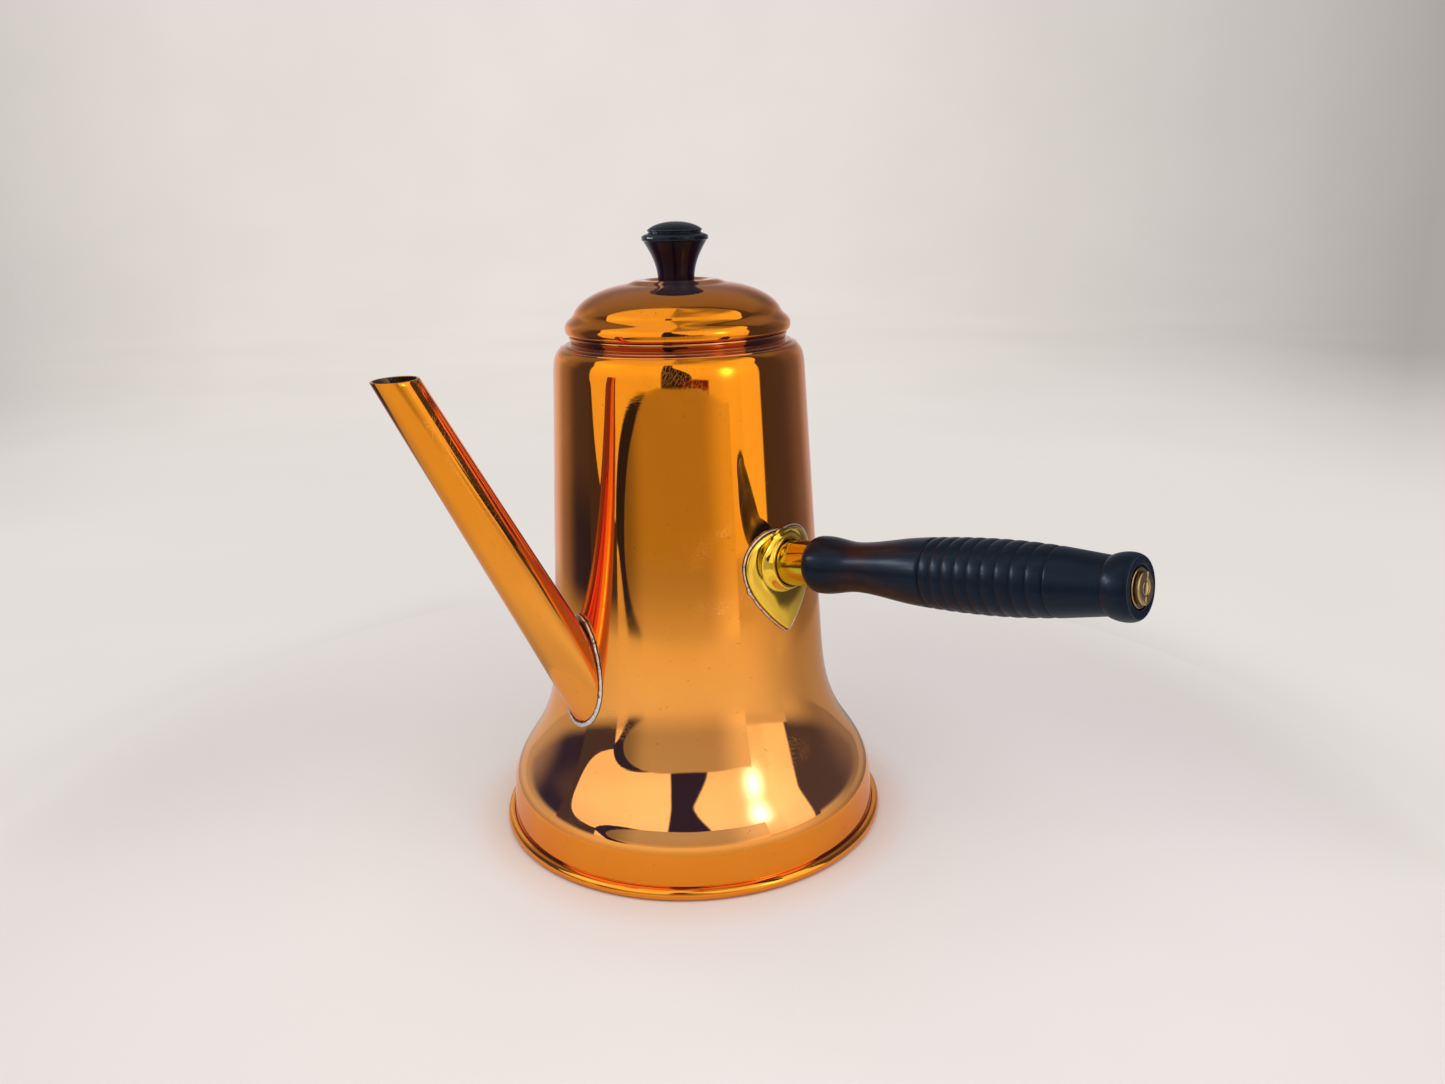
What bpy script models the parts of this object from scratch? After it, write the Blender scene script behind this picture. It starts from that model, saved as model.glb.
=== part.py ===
"""Side-handled copper coffee pot with a straight spout and a lift-off lid.

Metres, +Z up.  The origin is the centre of the base on the table, +X points along the spout
and the handle stands out close to +Y.
"""
import math

import bmesh
import bpy
from mathutils import Vector
from mathutils.geometry import interpolate_bezier

MM = 0.001
GAP = 0.3 * MM                      # clearance left between two touching pieces

# ---------------------------------------------------------------- driving dimensions
SHEET = 1.0 * MM                    # copper wall
LID_SHEET = 0.9 * MM
PAN_SHEET = 0.7 * MM
BARREL_LOW = (57.0 * MM, 80.0 * MM)         # radius and height where the bell flare begins
BARREL_TOP = (50.6 * MM, 193.0 * MM)        # where the barrel turns over into the shoulder
HAUNCH = (70.5 * MM, 34.0 * MM)             # inflection of the bell
SKIRT_TOP = (78.0 * MM, 18.0 * MM)
SKIRT_FOOT = (79.5 * MM, 1.0 * MM)
NECK_RADIUS = 43.0 * MM
NECK_FOOT = 204.2 * MM
NECK_TOP = 207.5 * MM

BEAD_CENTRE = (80.0 * MM, 2.3 * MM)         # rolled rim of the base pan
BEAD_RADIUS = 2.3 * MM
WIRE_CENTRE = (80.6 * MM, 2.3 * MM)
WIRE_RADIUS = 0.7 * MM

LID_LIP = 207.8 * MM                # underside of the lid's turned-in lip
LID_LIP_INNER = 42.0 * MM
LID_BEAD_RADIUS = 45.0 * MM
LID_TOP = 228.0 * MM
LID_SEAT = 227.0 * MM               # the flat seat of the knob, sunk below the crown
COLLAR_RADIUS = 41.6 * MM
COLLAR_SHEET = 0.8 * MM
COLLAR_FOOT = 194.0 * MM
COLLAR_HEAD = 213.0 * MM

KNOB_FOOT = LID_SEAT + GAP
KNOB_TOP = 250.0 * MM
KNOB_FLANGE = 13.1 * MM
INSERT_RADIUS = 3.2 * MM
KNOB_SCREW_RADIUS = 1.7 * MM

SPOUT_LEAN = math.radians(27.9)
SPOUT_MOUTH = Vector((124.3 * MM, 0.0, 203.0 * MM))
SPOUT_MOUTH_RADIUS = 7.5 * MM
SPOUT_TAPER = 0.0241                # radius gained for each metre of length, both in metres
SPOUT_WALL = 0.9 * MM
SPOUT_FILLET = 1.3 * MM
MOUTH_DROOP = 0.029                 # slope of the mouth's cut, falling outwards
STRAINER_HOLE_RADIUS = 1.9 * MM
STRAINER_ROWS = (67.0 * MM, 73.0 * MM, 79.0 * MM, 85.0 * MM)    # heights of the rows of holes
STRAINER_SPREAD = 4.5 * MM          # holes of every second row stand this far either side

HANDLE_ANGLE = math.radians(93.5)   # from the spout, seen from above
HANDLE_RISE = math.radians(8.05)
HANDLE_AXIS_HEIGHT = 114.2 * MM     # where the handle's axis would cross the pot's axis
PLATE_HEIGHT = 121.8 * MM           # height of the plate's middle
PLATE_THICKNESS = 1.3 * MM
PLATE_SHIFT = -0.7 * MM             # the plate sits this far off the handle's plane
COLLAR_SWELL = 2.3 * MM             # the plate's drawn collar spreads this far past the tube's hole
COLLAR_OFFSET = (-0.6 * MM, 0.8 * MM)       # its foot sits this far round and up the wall
SOCKET_RADIUS = 8.8 * MM
SOCKET_WALL = 1.0 * MM
SOCKET_END = 82.0 * MM
GRIP_START = 72.0 * MM
GRIP_END = 199.0 * MM
ROD_RADIUS = 2.0 * MM
NUT_RADIUS = 5.3 * MM
NUT_FACE = 200.6 * MM
GROOVE_COUNT = 10
GROOVE_FIRST = 125.8 * MM
GROOVE_DEPTH = 0.8 * MM

POT_STEPS = 48                      # facets round the pot and its lid
SMALL_STEPS = 24                    # facets round the knob, the grip and the small turned pieces
SPOUT_STEPS = 28
PLATE_STEPS = 40

COPPER = (0.90, 0.45, 0.14)
TIN = (0.70, 0.69, 0.66)
BRASS = (0.78, 0.62, 0.20)
STEEL = (0.55, 0.55, 0.56)
EBONY = (0.02, 0.014, 0.012)
BAKELITE = (0.018, 0.008, 0.008)


# ---------------------------------------------------------------- scene and materials
def clear_scene():
    for obj in list(bpy.data.objects):
        bpy.data.objects.remove(obj, do_unlink=True)


def make_material(name, colour, metallic, roughness):
    material = bpy.data.materials.new(name)
    material.use_nodes = True
    shader = material.node_tree.nodes["Principled BSDF"]
    shader.inputs["Base Color"].default_value = (*colour, 1.0)
    shader.inputs["Metallic"].default_value = metallic
    shader.inputs["Roughness"].default_value = roughness
    return material


# ---------------------------------------------------------------- profiles as (radius, height)
def curve(start, start_handle, end_handle, end, count):
    """Points along one cubic span, both ends included."""
    points = interpolate_bezier(
        Vector((*start, 0.0)),
        Vector((*start_handle, 0.0)),
        Vector((*end_handle, 0.0)),
        Vector((*end, 0.0)),
        count,
    )
    return [(p.x, p.y) for p in points]


def arc(centre, radius, first, last, count):
    """Points on a circle from one angle to another, in degrees."""
    points = []
    for i in range(count):
        a = math.radians(first + (last - first) * i / (count - 1))
        points.append((centre[0] + radius * math.cos(a), centre[1] + radius * math.sin(a)))
    return points


def inset(profile, distance):
    """The profile moved to the inner side of a wall, for profiles that run outwards and down."""
    moved = []
    for i, (r, z) in enumerate(profile):
        before = profile[max(i - 1, 0)]
        after = profile[min(i + 1, len(profile) - 1)]
        dr = after[0] - before[0]
        dz = after[1] - before[1]
        length = math.hypot(dr, dz)
        moved.append((r + dz / length * distance, z - dr / length * distance))
    return moved


def every_second(points):
    """A coarser run of the same points that keeps both ends."""
    return points[:-1:2] + points[-1:]


def body_profile():
    """Outside of the pot from the top of the neck down to the foot of the skirt."""
    neck = [(NECK_RADIUS, NECK_TOP), (NECK_RADIUS, NECK_FOOT + 0.5 * MM)]
    shoulder = curve(
        (NECK_RADIUS + 0.4 * MM, NECK_FOOT),
        (46.3 * MM, 203.6 * MM),
        (49.4 * MM, 200.6 * MM),
        BARREL_TOP,
        6,
    )
    flare = curve(BARREL_LOW, (58.1 * MM, 60.0 * MM), (60.7 * MM, 48.0 * MM), HAUNCH, 8)
    haunch = curve(HAUNCH, (75.0 * MM, 27.5 * MM), (77.5 * MM, 23.0 * MM), SKIRT_TOP, 5)
    return neck + shoulder + flare + haunch[1:] + [SKIRT_FOOT]


def wall_radius(height):
    """Outside radius of the pot at a height."""
    profile = body_profile()
    for (r0, z0), (r1, z1) in zip(profile, profile[1:]):
        if z1 <= height <= z0:
            return r0 + (r1 - r0) * (z0 - height) / (z0 - z1)
    return profile[-1][0] if height < profile[-1][1] else profile[0][0]


def lid_profile():
    """Outside of the lid from the knob's hole down to the inner edge of its lip."""
    seat = [(KNOB_SCREW_RADIUS + GAP, LID_SEAT), (8.6 * MM, LID_SEAT)]
    crest = (14.4 * MM, LID_TOP)
    crown = curve(seat[-1], (10.8 * MM, LID_SEAT), (11.6 * MM, LID_TOP), crest, 4)
    step = curve(crest, (17.6 * MM, LID_TOP), (17.8 * MM, 226.8 * MM), (21.0 * MM, 226.5 * MM), 4)
    dome_foot = (41.0 * MM, 216.2 * MM)
    dome = curve(step[-1], (30.0 * MM, 225.3 * MM), (38.5 * MM, 221.5 * MM), dome_foot, 7)
    bead_edge = (LID_BEAD_RADIUS, 210.3 * MM)
    bead = curve(dome_foot, (41.9 * MM, 213.8 * MM), (LID_BEAD_RADIUS, 213.4 * MM), bead_edge, 5)
    lip = curve(bead_edge, (LID_BEAD_RADIUS, 208.8 * MM), (44.5 * MM, LID_LIP), (43.4 * MM, LID_LIP), 4)
    return seat + crown[1:] + step[1:] + dome[1:] + bead[1:] + lip[1:] + [(LID_LIP_INNER, LID_LIP)]


def knob_profile():
    """Outside of the knob from its foot up to the top of its cap."""
    flange = 242.8 * MM
    throat = (KNOB_FLANGE - 0.5 * MM, flange)
    stem = curve((7.2 * MM, KNOB_FOOT), (7.4 * MM, 234.0 * MM), (9.6 * MM, 238.0 * MM), throat, 6)
    rim = [
        (KNOB_FLANGE, flange + 0.3 * MM),
        (KNOB_FLANGE, flange + 1.7 * MM),
        (KNOB_FLANGE - 0.5 * MM, flange + 2.1 * MM),
        (11.0 * MM, flange + 2.7 * MM),
        (10.4 * MM, flange + 3.0 * MM),
        (10.4 * MM, flange + 3.5 * MM),
    ]
    cap = curve(
        (10.8 * MM, flange + 3.9 * MM), (9.0 * MM, 248.6 * MM), (5.0 * MM, KNOB_TOP), (0.0, KNOB_TOP), 6
    )
    return stem + rim + cap


def smooth_grip_radius(t):
    """Radius of the grip before its rings are cut, along the handle's axis."""
    knots = [
        (GRIP_START, 9.5 * MM),
        (77.0 * MM, 10.9 * MM),
        (92.0 * MM, 9.2 * MM),
        (118.0 * MM, 11.9 * MM),
        (145.0 * MM, 13.0 * MM),
        (166.0 * MM, 12.2 * MM),
        (189.6 * MM, 9.5 * MM),
    ]
    slopes = [0.9, 0.0, 0.0, 0.08, 0.0, -0.08, -0.12]
    for i in range(len(knots) - 1):
        (t0, r0), (t1, r1) = knots[i], knots[i + 1]
        if t0 <= t <= t1:
            span = t1 - t0
            s = (t - t0) / span
            return (
                r0 * (1 + 2 * s) * (1 - s) ** 2
                + slopes[i] * span * s * (1 - s) ** 2
                + r1 * s * s * (3 - 2 * s)
                + slopes[i + 1] * span * s * s * (s - 1)
            )
    return knots[-1][1]


def groove_place(i):
    """The rings grow wider towards the free end."""
    return GROOVE_FIRST + (4.65 * i + 0.05 * i * i) * MM


def grip_profile():
    """Closed section of the grip as (radius, distance along the handle's axis)."""
    waist = (0.0, 0.8, 2.0, 3.6, 6.0, 9.0, 13.0, 17.0, 21.0, 28.0, 36.0, 45.0)
    outside = [(smooth_grip_radius(GRIP_START + d * MM), GRIP_START + d * MM) for d in waist]
    half_width = 0.8 * MM
    for i in range(GROOVE_COUNT):
        t = groove_place(i)
        outside.append((smooth_grip_radius(t - half_width), t - half_width))
        outside.append((smooth_grip_radius(t) - GROOVE_DEPTH, t))
        outside.append((smooth_grip_radius(t + half_width), t + half_width))
    for t in (176.0 * MM, 181.0 * MM, 186.0 * MM, 189.2 * MM):
        outside.append((smooth_grip_radius(t), t))
    neck = (9.5 * MM, 190.0 * MM)
    rim = (9.7 * MM, GRIP_END)
    bulge = curve(neck, (10.5 * MM, 190.8 * MM), (11.9 * MM, 196.6 * MM), rim, 8)
    recess = [
        (7.4 * MM, GRIP_END),
        (7.0 * MM, GRIP_END - 0.9 * MM),
        (ROD_RADIUS + GAP, GRIP_END - 0.9 * MM),
    ]
    bore = [
        (ROD_RADIUS + GAP, SOCKET_END + GAP),
        (SOCKET_RADIUS + GAP, SOCKET_END + GAP),
        (SOCKET_RADIUS + GAP, GRIP_START),
    ]
    return outside + bulge + recess + bore


# ---------------------------------------------------------------- mesh builders
def finish(name, bm, material, smooth_angle=35.0):
    bmesh.ops.remove_doubles(bm, verts=bm.verts, dist=1e-6)
    bmesh.ops.recalc_face_normals(bm, faces=bm.faces)
    mesh = bpy.data.meshes.new(name)
    bm.to_mesh(mesh)
    bm.free()
    mesh.shade_smooth()
    mesh.set_sharp_from_angle(angle=math.radians(smooth_angle))
    mesh.materials.append(material)
    obj = bpy.data.objects.new(name, mesh)
    bpy.context.collection.objects.link(obj)
    return obj


def spin_profile(name, profile, steps, material, closed=True):
    """Turn a section in the XZ plane about +Z.  An open section starts and ends on the axis."""
    bm = bmesh.new()
    verts = [bm.verts.new((r, 0.0, z)) for r, z in profile]
    edges = [bm.edges.new(pair) for pair in zip(verts, verts[1:])]
    if closed:
        edges.append(bm.edges.new((verts[-1], verts[0])))
    bmesh.ops.spin(
        bm,
        geom=verts + edges,
        cent=(0.0, 0.0, 0.0),
        axis=(0.0, 0.0, 1.0),
        angle=math.tau,
        steps=steps,
        use_merge=True,
    )
    return finish(name, bm, material)


def ring_solid(name, rings, material, smooth_angle=35.0):
    """A closed solid from rings of equal length, where the last ring joins the first."""
    bm = bmesh.new()
    rows = [[bm.verts.new(p) for p in ring] for ring in rings]
    count = len(rings[0])
    for i, row in enumerate(rows):
        following = rows[(i + 1) % len(rows)]
        for j in range(count):
            k = (j + 1) % count
            bm.faces.new((row[j], row[k], following[k], following[j]))
    return finish(name, bm, material, smooth_angle)


def cut(target, cutter):
    """Take the cutter's shape out of the target."""
    cutter.hide_render = True
    cutter.display_type = "WIRE"
    modifier = target.modifiers.new("cut_" + cutter.name, "BOOLEAN")
    modifier.operation = "DIFFERENCE"
    modifier.solver = "EXACT"
    modifier.object = cutter


def solve(function, low, high):
    """Where a rising function crosses zero."""
    for _ in range(50):
        middle = 0.5 * (low + high)
        if function(middle) > 0.0:
            high = middle
        else:
            low = middle
    return 0.5 * (low + high)


# ---------------------------------------------------------------- handle geometry
def handle_frame():
    """Unit vectors along the handle, sideways and upwards."""
    ca, sa = math.cos(HANDLE_ANGLE), math.sin(HANDLE_ANGLE)
    cr, sr = math.cos(HANDLE_RISE), math.sin(HANDLE_RISE)
    along = Vector((cr * ca, cr * sa, sr))
    side = Vector((-sa, ca, 0.0))
    up = Vector((-sr * ca, -sr * sa, cr))
    return along, side, up


def about_handle(turn, radius, t):
    """A point at a distance t along the handle's axis, and a radius from it."""
    along, side, up = handle_frame()
    origin = Vector((0.0, 0.0, HANDLE_AXIS_HEIGHT))
    return origin + along * t + (side * math.cos(turn) + up * math.sin(turn)) * radius


def handle_meets_pot(turn, radius, clearance):
    """Distance along the handle's axis where a line beside it leaves the pot's wall."""
    def outside(t):
        p = about_handle(turn, radius, t)
        return math.hypot(p.x, p.y) - wall_radius(p.z) - clearance
    return solve(outside, 30.0 * MM, 90.0 * MM)


def turn_about_handle(name, section, steps, material):
    """Turn a closed section of (radius, t) about the handle's axis."""
    rings = []
    for radius, t in section:
        rings.append([about_handle(math.tau * j / steps, radius, t) for j in range(steps)])
    return ring_solid(name, rings, material)


def on_wall(u, v, height):
    """A point wrapped on the pot's wall: u round it, v up it, height out from it."""
    angle = HANDLE_ANGLE + u / wall_radius(PLATE_HEIGHT)
    z = PLATE_HEIGHT + v
    radius = wall_radius(z) + height
    return Vector((radius * math.cos(angle), radius * math.sin(angle), z))


def unwrap(point):
    """The (u, v) of a point near the wall."""
    angle = math.atan2(point.y, point.x) - HANDLE_ANGLE
    return angle * wall_radius(PLATE_HEIGHT), point.z - PLATE_HEIGHT


def plate_outline():
    """The shield, anticlockwise from its tip: two low lobes above, one point below."""
    widest = (18.3 * MM, 1.2 * MM)
    flank = curve((0.6 * MM, -26.8 * MM), (8.0 * MM, -20.8 * MM), (19.0 * MM, -9.0 * MM), widest, 12)
    lobe = curve(widest, (17.6 * MM, 10.8 * MM), (7.0 * MM, 15.2 * MM), (0.0, 12.4 * MM), 12)
    right = flank + lobe[1:]
    left = [(-u, v) for u, v in reversed(right[:-1])]
    return [(u + PLATE_SHIFT, v) for u, v in right + left]


def even_points(outline, count):
    """Points at equal spacing along a closed outline."""
    closed = outline + outline[:1]
    lengths = [math.dist(a, b) for a, b in zip(closed, closed[1:])]
    total = sum(lengths)
    points = []
    for i in range(count):
        target = total * i / count
        for (a, b), length in zip(zip(closed, closed[1:]), lengths):
            if target <= length:
                f = target / length
                points.append((a[0] + (b[0] - a[0]) * f, a[1] + (b[1] - a[1]) * f))
                break
            target -= length
    return points


def grow(outline, distance):
    """An anticlockwise outline moved outwards."""
    count = len(outline)
    moved = []
    for i, (u, v) in enumerate(outline):
        before, after = outline[i - 1], outline[(i + 1) % count]
        du, dv = after[0] - before[0], after[1] - before[1]
        length = math.hypot(du, dv)
        moved.append((u + dv / length * distance, v - du / length * distance))
    return moved


# ---------------------------------------------------------------- spout geometry
def spout_point(turn, s, growth):
    """A point on the spout's skin, s down its axis from the mouth's centre."""
    down = Vector((-math.sin(SPOUT_LEAN), 0.0, -math.cos(SPOUT_LEAN)))
    across = Vector((0.0, 1.0, 0.0))
    outward = across.cross(down)
    radius = SPOUT_MOUTH_RADIUS + SPOUT_TAPER * s + growth
    return SPOUT_MOUTH + down * s + (outward * math.cos(turn) + across * math.sin(turn)) * radius


def spout_meets_pot(turn, growth, clearance):
    def inside(s):
        p = spout_point(turn, s, growth)
        return wall_radius(p.z) + clearance - math.hypot(p.x, p.y)
    return spout_point(turn, solve(inside, 60.0 * MM, 190.0 * MM), growth)


def spout_meets_mouth(turn, growth):
    def below(s):
        p = spout_point(turn, s, growth) - SPOUT_MOUTH
        return -(p.z + MOUTH_DROOP * p.x)
    return spout_point(turn, solve(below, -30.0 * MM, 30.0 * MM), growth)


# ---------------------------------------------------------------- pot
def build_pot_shell(copper):
    outside = body_profile()
    inside = every_second(inset(outside, SHEET))
    shell = spin_profile("pot_shell", outside + inside[::-1], POT_STEPS, copper)
    for row, height in enumerate(STRAINER_ROWS):
        places = (0,) if row % 2 == 0 else (-1, 1)
        for place in places:
            bpy.ops.mesh.primitive_cylinder_add(
                vertices=10,
                radius=STRAINER_HOLE_RADIUS,
                depth=20 * SHEET,
                location=(wall_radius(height), place * STRAINER_SPREAD, height),
                rotation=(0.0, math.pi / 2, 0.0),
            )
            drill = bpy.context.object
            drill.name = f"strainer_drill_{row}_{place + 1}"
            cut(shell, drill)


def build_base(copper, steel, tin):
    outer_roll = arc(BEAD_CENTRE, BEAD_RADIUS, -90.0, 95.0, 8)
    inner_roll = arc(BEAD_CENTRE, BEAD_RADIUS - PAN_SHEET, 95.0, -90.0, 5)
    section = [(0.0, 0.0)] + outer_roll + inner_roll + [(0.0, PAN_SHEET)]
    spin_profile("base_pan", section, POT_STEPS, copper, closed=False)
    spin_profile("base_rim_wire", arc(WIRE_CENTRE, WIRE_RADIUS, 0.0, 300.0, 6), POT_STEPS, steel)
    corner = SKIRT_FOOT[0] - SHEET - GAP - 0.05 * MM
    floor = PAN_SHEET + GAP
    fillet = [(corner, floor), (corner - 0.2 * MM, floor + 2.0 * MM), (corner - 1.8 * MM, floor)]
    spin_profile("base_seam_solder", fillet, POT_STEPS, tin)


def build_spout(copper, solder):
    turns = [math.tau * j / SPOUT_STEPS for j in range(SPOUT_STEPS)]
    rings = []
    for growth, order in ((0.0, (0.0, 0.5, 1.0)), (-SPOUT_WALL, (1.0, 0.5, 0.0))):
        mouths = [spout_meets_mouth(a, growth) for a in turns]
        feet = [spout_meets_pot(a, growth, GAP) for a in turns]
        for f in order:
            rings.append([m.lerp(n, f) for m, n in zip(mouths, feet)])
    ring_solid("spout_tube", rings, copper)
    section = ((0.0, 0.0), (1.0, 0.0), (0.42, 0.42), (0.0, 1.0))
    rings = []
    for out, up in section:
        growth = GAP + SPOUT_FILLET * out
        clearance = GAP + SPOUT_FILLET * 0.7 * up
        rings.append([spout_meets_pot(a, growth, clearance) for a in turns])
    ring_solid("spout_solder", rings, solder)


# ---------------------------------------------------------------- handle
def build_handle_plate(brass, solder):
    outline = even_points(plate_outline(), PLATE_STEPS)
    turns = [math.atan2(v, u) for u, v in outline]
    hole = SOCKET_RADIUS + GAP
    collar = [(hole + 1.7 * MM, 58.0 * MM), (hole + 1.3 * MM, 58.8 * MM), (hole + 0.7 * MM, 59.1 * MM)]

    def on_face(radius, lift, offset=(0.0, 0.0)):
        """Ring of (u, v, height) round the tube on the plate's face."""
        ring = []
        for a in turns:
            t = handle_meets_pot(a, radius, GAP + lift)
            u, v = unwrap(about_handle(a, radius, t))
            ring.append((u + offset[0], v + offset[1], GAP + lift))
        return ring

    face = on_face(hole + COLLAR_SWELL, PLATE_THICKNESS + 0.3 * MM, COLLAR_OFFSET)
    edge = grow(outline, -0.35 * MM)
    rings = [[on_wall(u, v, GAP) for u, v in outline]]
    rings.append([on_wall(u, v, GAP + 0.75 * MM) for u, v in outline])
    rings.append([on_wall(u, v, GAP + PLATE_THICKNESS * 0.85) for u, v in edge])
    rings.append([
        on_wall(u + (p[0] - u) * 0.5, v + (p[1] - v) * 0.5, GAP + PLATE_THICKNESS + 0.2 * MM)
        for (u, v), p in zip(edge, face)
    ])
    rings.append([on_wall(*p) for p in face])
    for radius, t in collar:
        rings.append([about_handle(a, radius, t) for a in turns])
    rings.append([about_handle(a, hole, 59.0 * MM) for a in turns])
    rings.append([on_wall(*p) for p in on_face(hole, 0.0)])
    ring_solid("handle_plate", rings, brass)

    beads = []
    for out, height in ((0.0, GAP), (0.9 * MM, GAP), (0.6 * MM, 0.9 * MM), (0.0, 1.1 * MM)):
        beads.append([on_wall(u, v, height) for u, v in grow(outline, GAP + out)])
    ring_solid("plate_solder", beads, solder)


def build_socket(brass, steel):
    turns = [math.tau * j / SMALL_STEPS for j in range(SMALL_STEPS)]
    inner = SOCKET_RADIUS - SOCKET_WALL
    rings = []
    for radius, foot_first in ((SOCKET_RADIUS, True), (inner, False)):
        foot = [about_handle(a, radius, handle_meets_pot(a, radius, GAP)) for a in turns]
        end = [about_handle(a, radius, SOCKET_END) for a in turns]
        rings += [foot, end] if foot_first else [end, foot]
    ring_solid("handle_socket", rings, brass)

    plug = inner - GAP
    bore = ROD_RADIUS + GAP
    turn_about_handle(
        "socket_plug",
        [(plug, 60.0 * MM), (plug, 70.0 * MM), (bore, 70.0 * MM), (bore, 60.0 * MM)],
        SMALL_STEPS,
        brass,
    )
    build_rod("tie_rod", 61.0 * MM, NUT_FACE - 0.4 * MM, steel)


def build_rod(name, start, end, material):
    """A plain round rod with small end chamfers, along the handle's axis."""
    chamfer = 0.4 * MM
    bpy.ops.mesh.primitive_cylinder_add(vertices=16, radius=ROD_RADIUS, depth=end - start)
    rod = bpy.context.object
    rod.name = name
    rod.data.name = name
    along = handle_frame()[0]
    rod.rotation_mode = "QUATERNION"
    rod.rotation_quaternion = Vector((0.0, 0.0, 1.0)).rotation_difference(along)
    rod.location = Vector((0.0, 0.0, HANDLE_AXIS_HEIGHT)) + along * (start + end) / 2
    bevel = rod.modifiers.new("chamfer", "BEVEL")
    bevel.width = chamfer
    bevel.segments = 1
    bevel.limit_method = "ANGLE"
    bevel.angle_limit = math.radians(60.0)
    rod.data.materials.append(material)


def build_grip(wood, brass):
    turn_about_handle("handle_grip", grip_profile(), SMALL_STEPS, wood)
    washer_foot = GRIP_END - 0.9 * MM + GAP
    washer_top = washer_foot + 0.6 * MM
    bore = ROD_RADIUS + GAP
    turn_about_handle(
        "end_washer",
        [(6.3 * MM, washer_foot), (6.3 * MM, washer_top), (bore, washer_top), (bore, washer_foot)],
        SMALL_STEPS,
        brass,
    )
    nut_foot = washer_top + GAP
    nut = turn_about_handle(
        "end_nut",
        [
            (NUT_RADIUS, nut_foot),
            (NUT_RADIUS, NUT_FACE - 0.3 * MM),
            (NUT_RADIUS - 0.3 * MM, NUT_FACE),
            (bore, NUT_FACE),
            (bore, nut_foot),
        ],
        SMALL_STEPS,
        brass,
    )
    slot_depth = 0.9 * MM
    bpy.ops.mesh.primitive_cube_add(size=1.0)
    slot = bpy.context.object
    slot.name = "nut_slot_cutter"
    along, side, up = handle_frame()
    slot.rotation_mode = "QUATERNION"
    slot.rotation_quaternion = Vector((0.0, 0.0, 1.0)).rotation_difference(along)
    slot.scale = (1.1 * MM, 4 * NUT_RADIUS, 2 * slot_depth)
    slot.location = Vector((0.0, 0.0, HANDLE_AXIS_HEIGHT)) + along * NUT_FACE
    cut(nut, slot)


# ---------------------------------------------------------------- lid
def build_lid(copper, tin, knob_material, brass, steel):
    outside = lid_profile()
    inside = every_second(inset(outside, LID_SHEET))
    inside[-1] = (LID_LIP_INNER, LID_LIP + LID_SHEET)
    parts = [spin_profile("lid_shell", outside + inside[::-1], POT_STEPS, copper)]

    collar_inner = COLLAR_RADIUS - COLLAR_SHEET
    collar = [
        (COLLAR_RADIUS, COLLAR_HEAD),
        (COLLAR_RADIUS, COLLAR_FOOT + 1.0 * MM),
        (COLLAR_RADIUS - 0.5 * MM, COLLAR_FOOT),
        (collar_inner - 0.5 * MM, COLLAR_FOOT),
        (collar_inner, COLLAR_FOOT + 1.2 * MM),
        (collar_inner, COLLAR_HEAD),
    ]
    parts.append(spin_profile("lid_collar", collar, POT_STEPS, copper))
    corner = COLLAR_RADIUS + GAP
    floor = LID_LIP + LID_SHEET + GAP
    fillet = [(corner, floor), (corner + 1.2 * MM, floor), (corner, floor + 2.2 * MM)]
    parts.append(spin_profile("collar_solder", fillet, POT_STEPS, tin))

    socket = INSERT_RADIUS + GAP
    socket_top = KNOB_FOOT + 10.5 * MM
    hole = [(0.0, socket_top), (socket, socket_top), (socket, KNOB_FOOT)]
    parts.append(spin_profile("lid_knob", hole + knob_profile(), SMALL_STEPS, knob_material, closed=False))

    bore = KNOB_SCREW_RADIUS + GAP
    insert_foot = KNOB_FOOT + 0.2 * MM
    insert_top = KNOB_FOOT + 10.0 * MM
    insert = [
        (INSERT_RADIUS, insert_top),
        (INSERT_RADIUS, insert_foot),
        (bore, insert_foot),
        (bore, insert_top),
    ]
    parts.append(spin_profile("knob_insert", insert, SMALL_STEPS, brass))

    under = LID_SEAT - LID_SHEET - GAP
    washer_foot = under - 0.8 * MM
    washer = [(6.0 * MM, under), (6.0 * MM, washer_foot), (bore, washer_foot), (bore, under)]
    parts.append(spin_profile("knob_washer", washer, SMALL_STEPS, steel))

    head_top = washer_foot - GAP
    head_foot = head_top - 2.2 * MM
    screw = [
        (0.0, insert_top - 1.0 * MM),
        (KNOB_SCREW_RADIUS, insert_top - 1.0 * MM),
        (KNOB_SCREW_RADIUS, head_top),
        (3.4 * MM, head_top),
        (3.4 * MM, head_foot + 0.9 * MM),
        (2.2 * MM, head_foot),
        (0.0, head_foot),
    ]
    knob_screw = spin_profile("knob_screw", screw, SMALL_STEPS, steel, closed=False)
    parts.append(knob_screw)
    bpy.ops.mesh.primitive_cube_add(size=1.0, location=(0.0, 0.0, head_foot))
    slot = bpy.context.object
    slot.name = "screw_slot_cutter"
    slot.scale = (0.8 * MM, 10.0 * MM, 1.6 * MM)
    cut(knob_screw, slot)

    lift = bpy.data.objects.new("lid_lift_axis", None)
    bpy.context.collection.objects.link(lift)
    for part in parts:
        part.parent = lift


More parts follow.
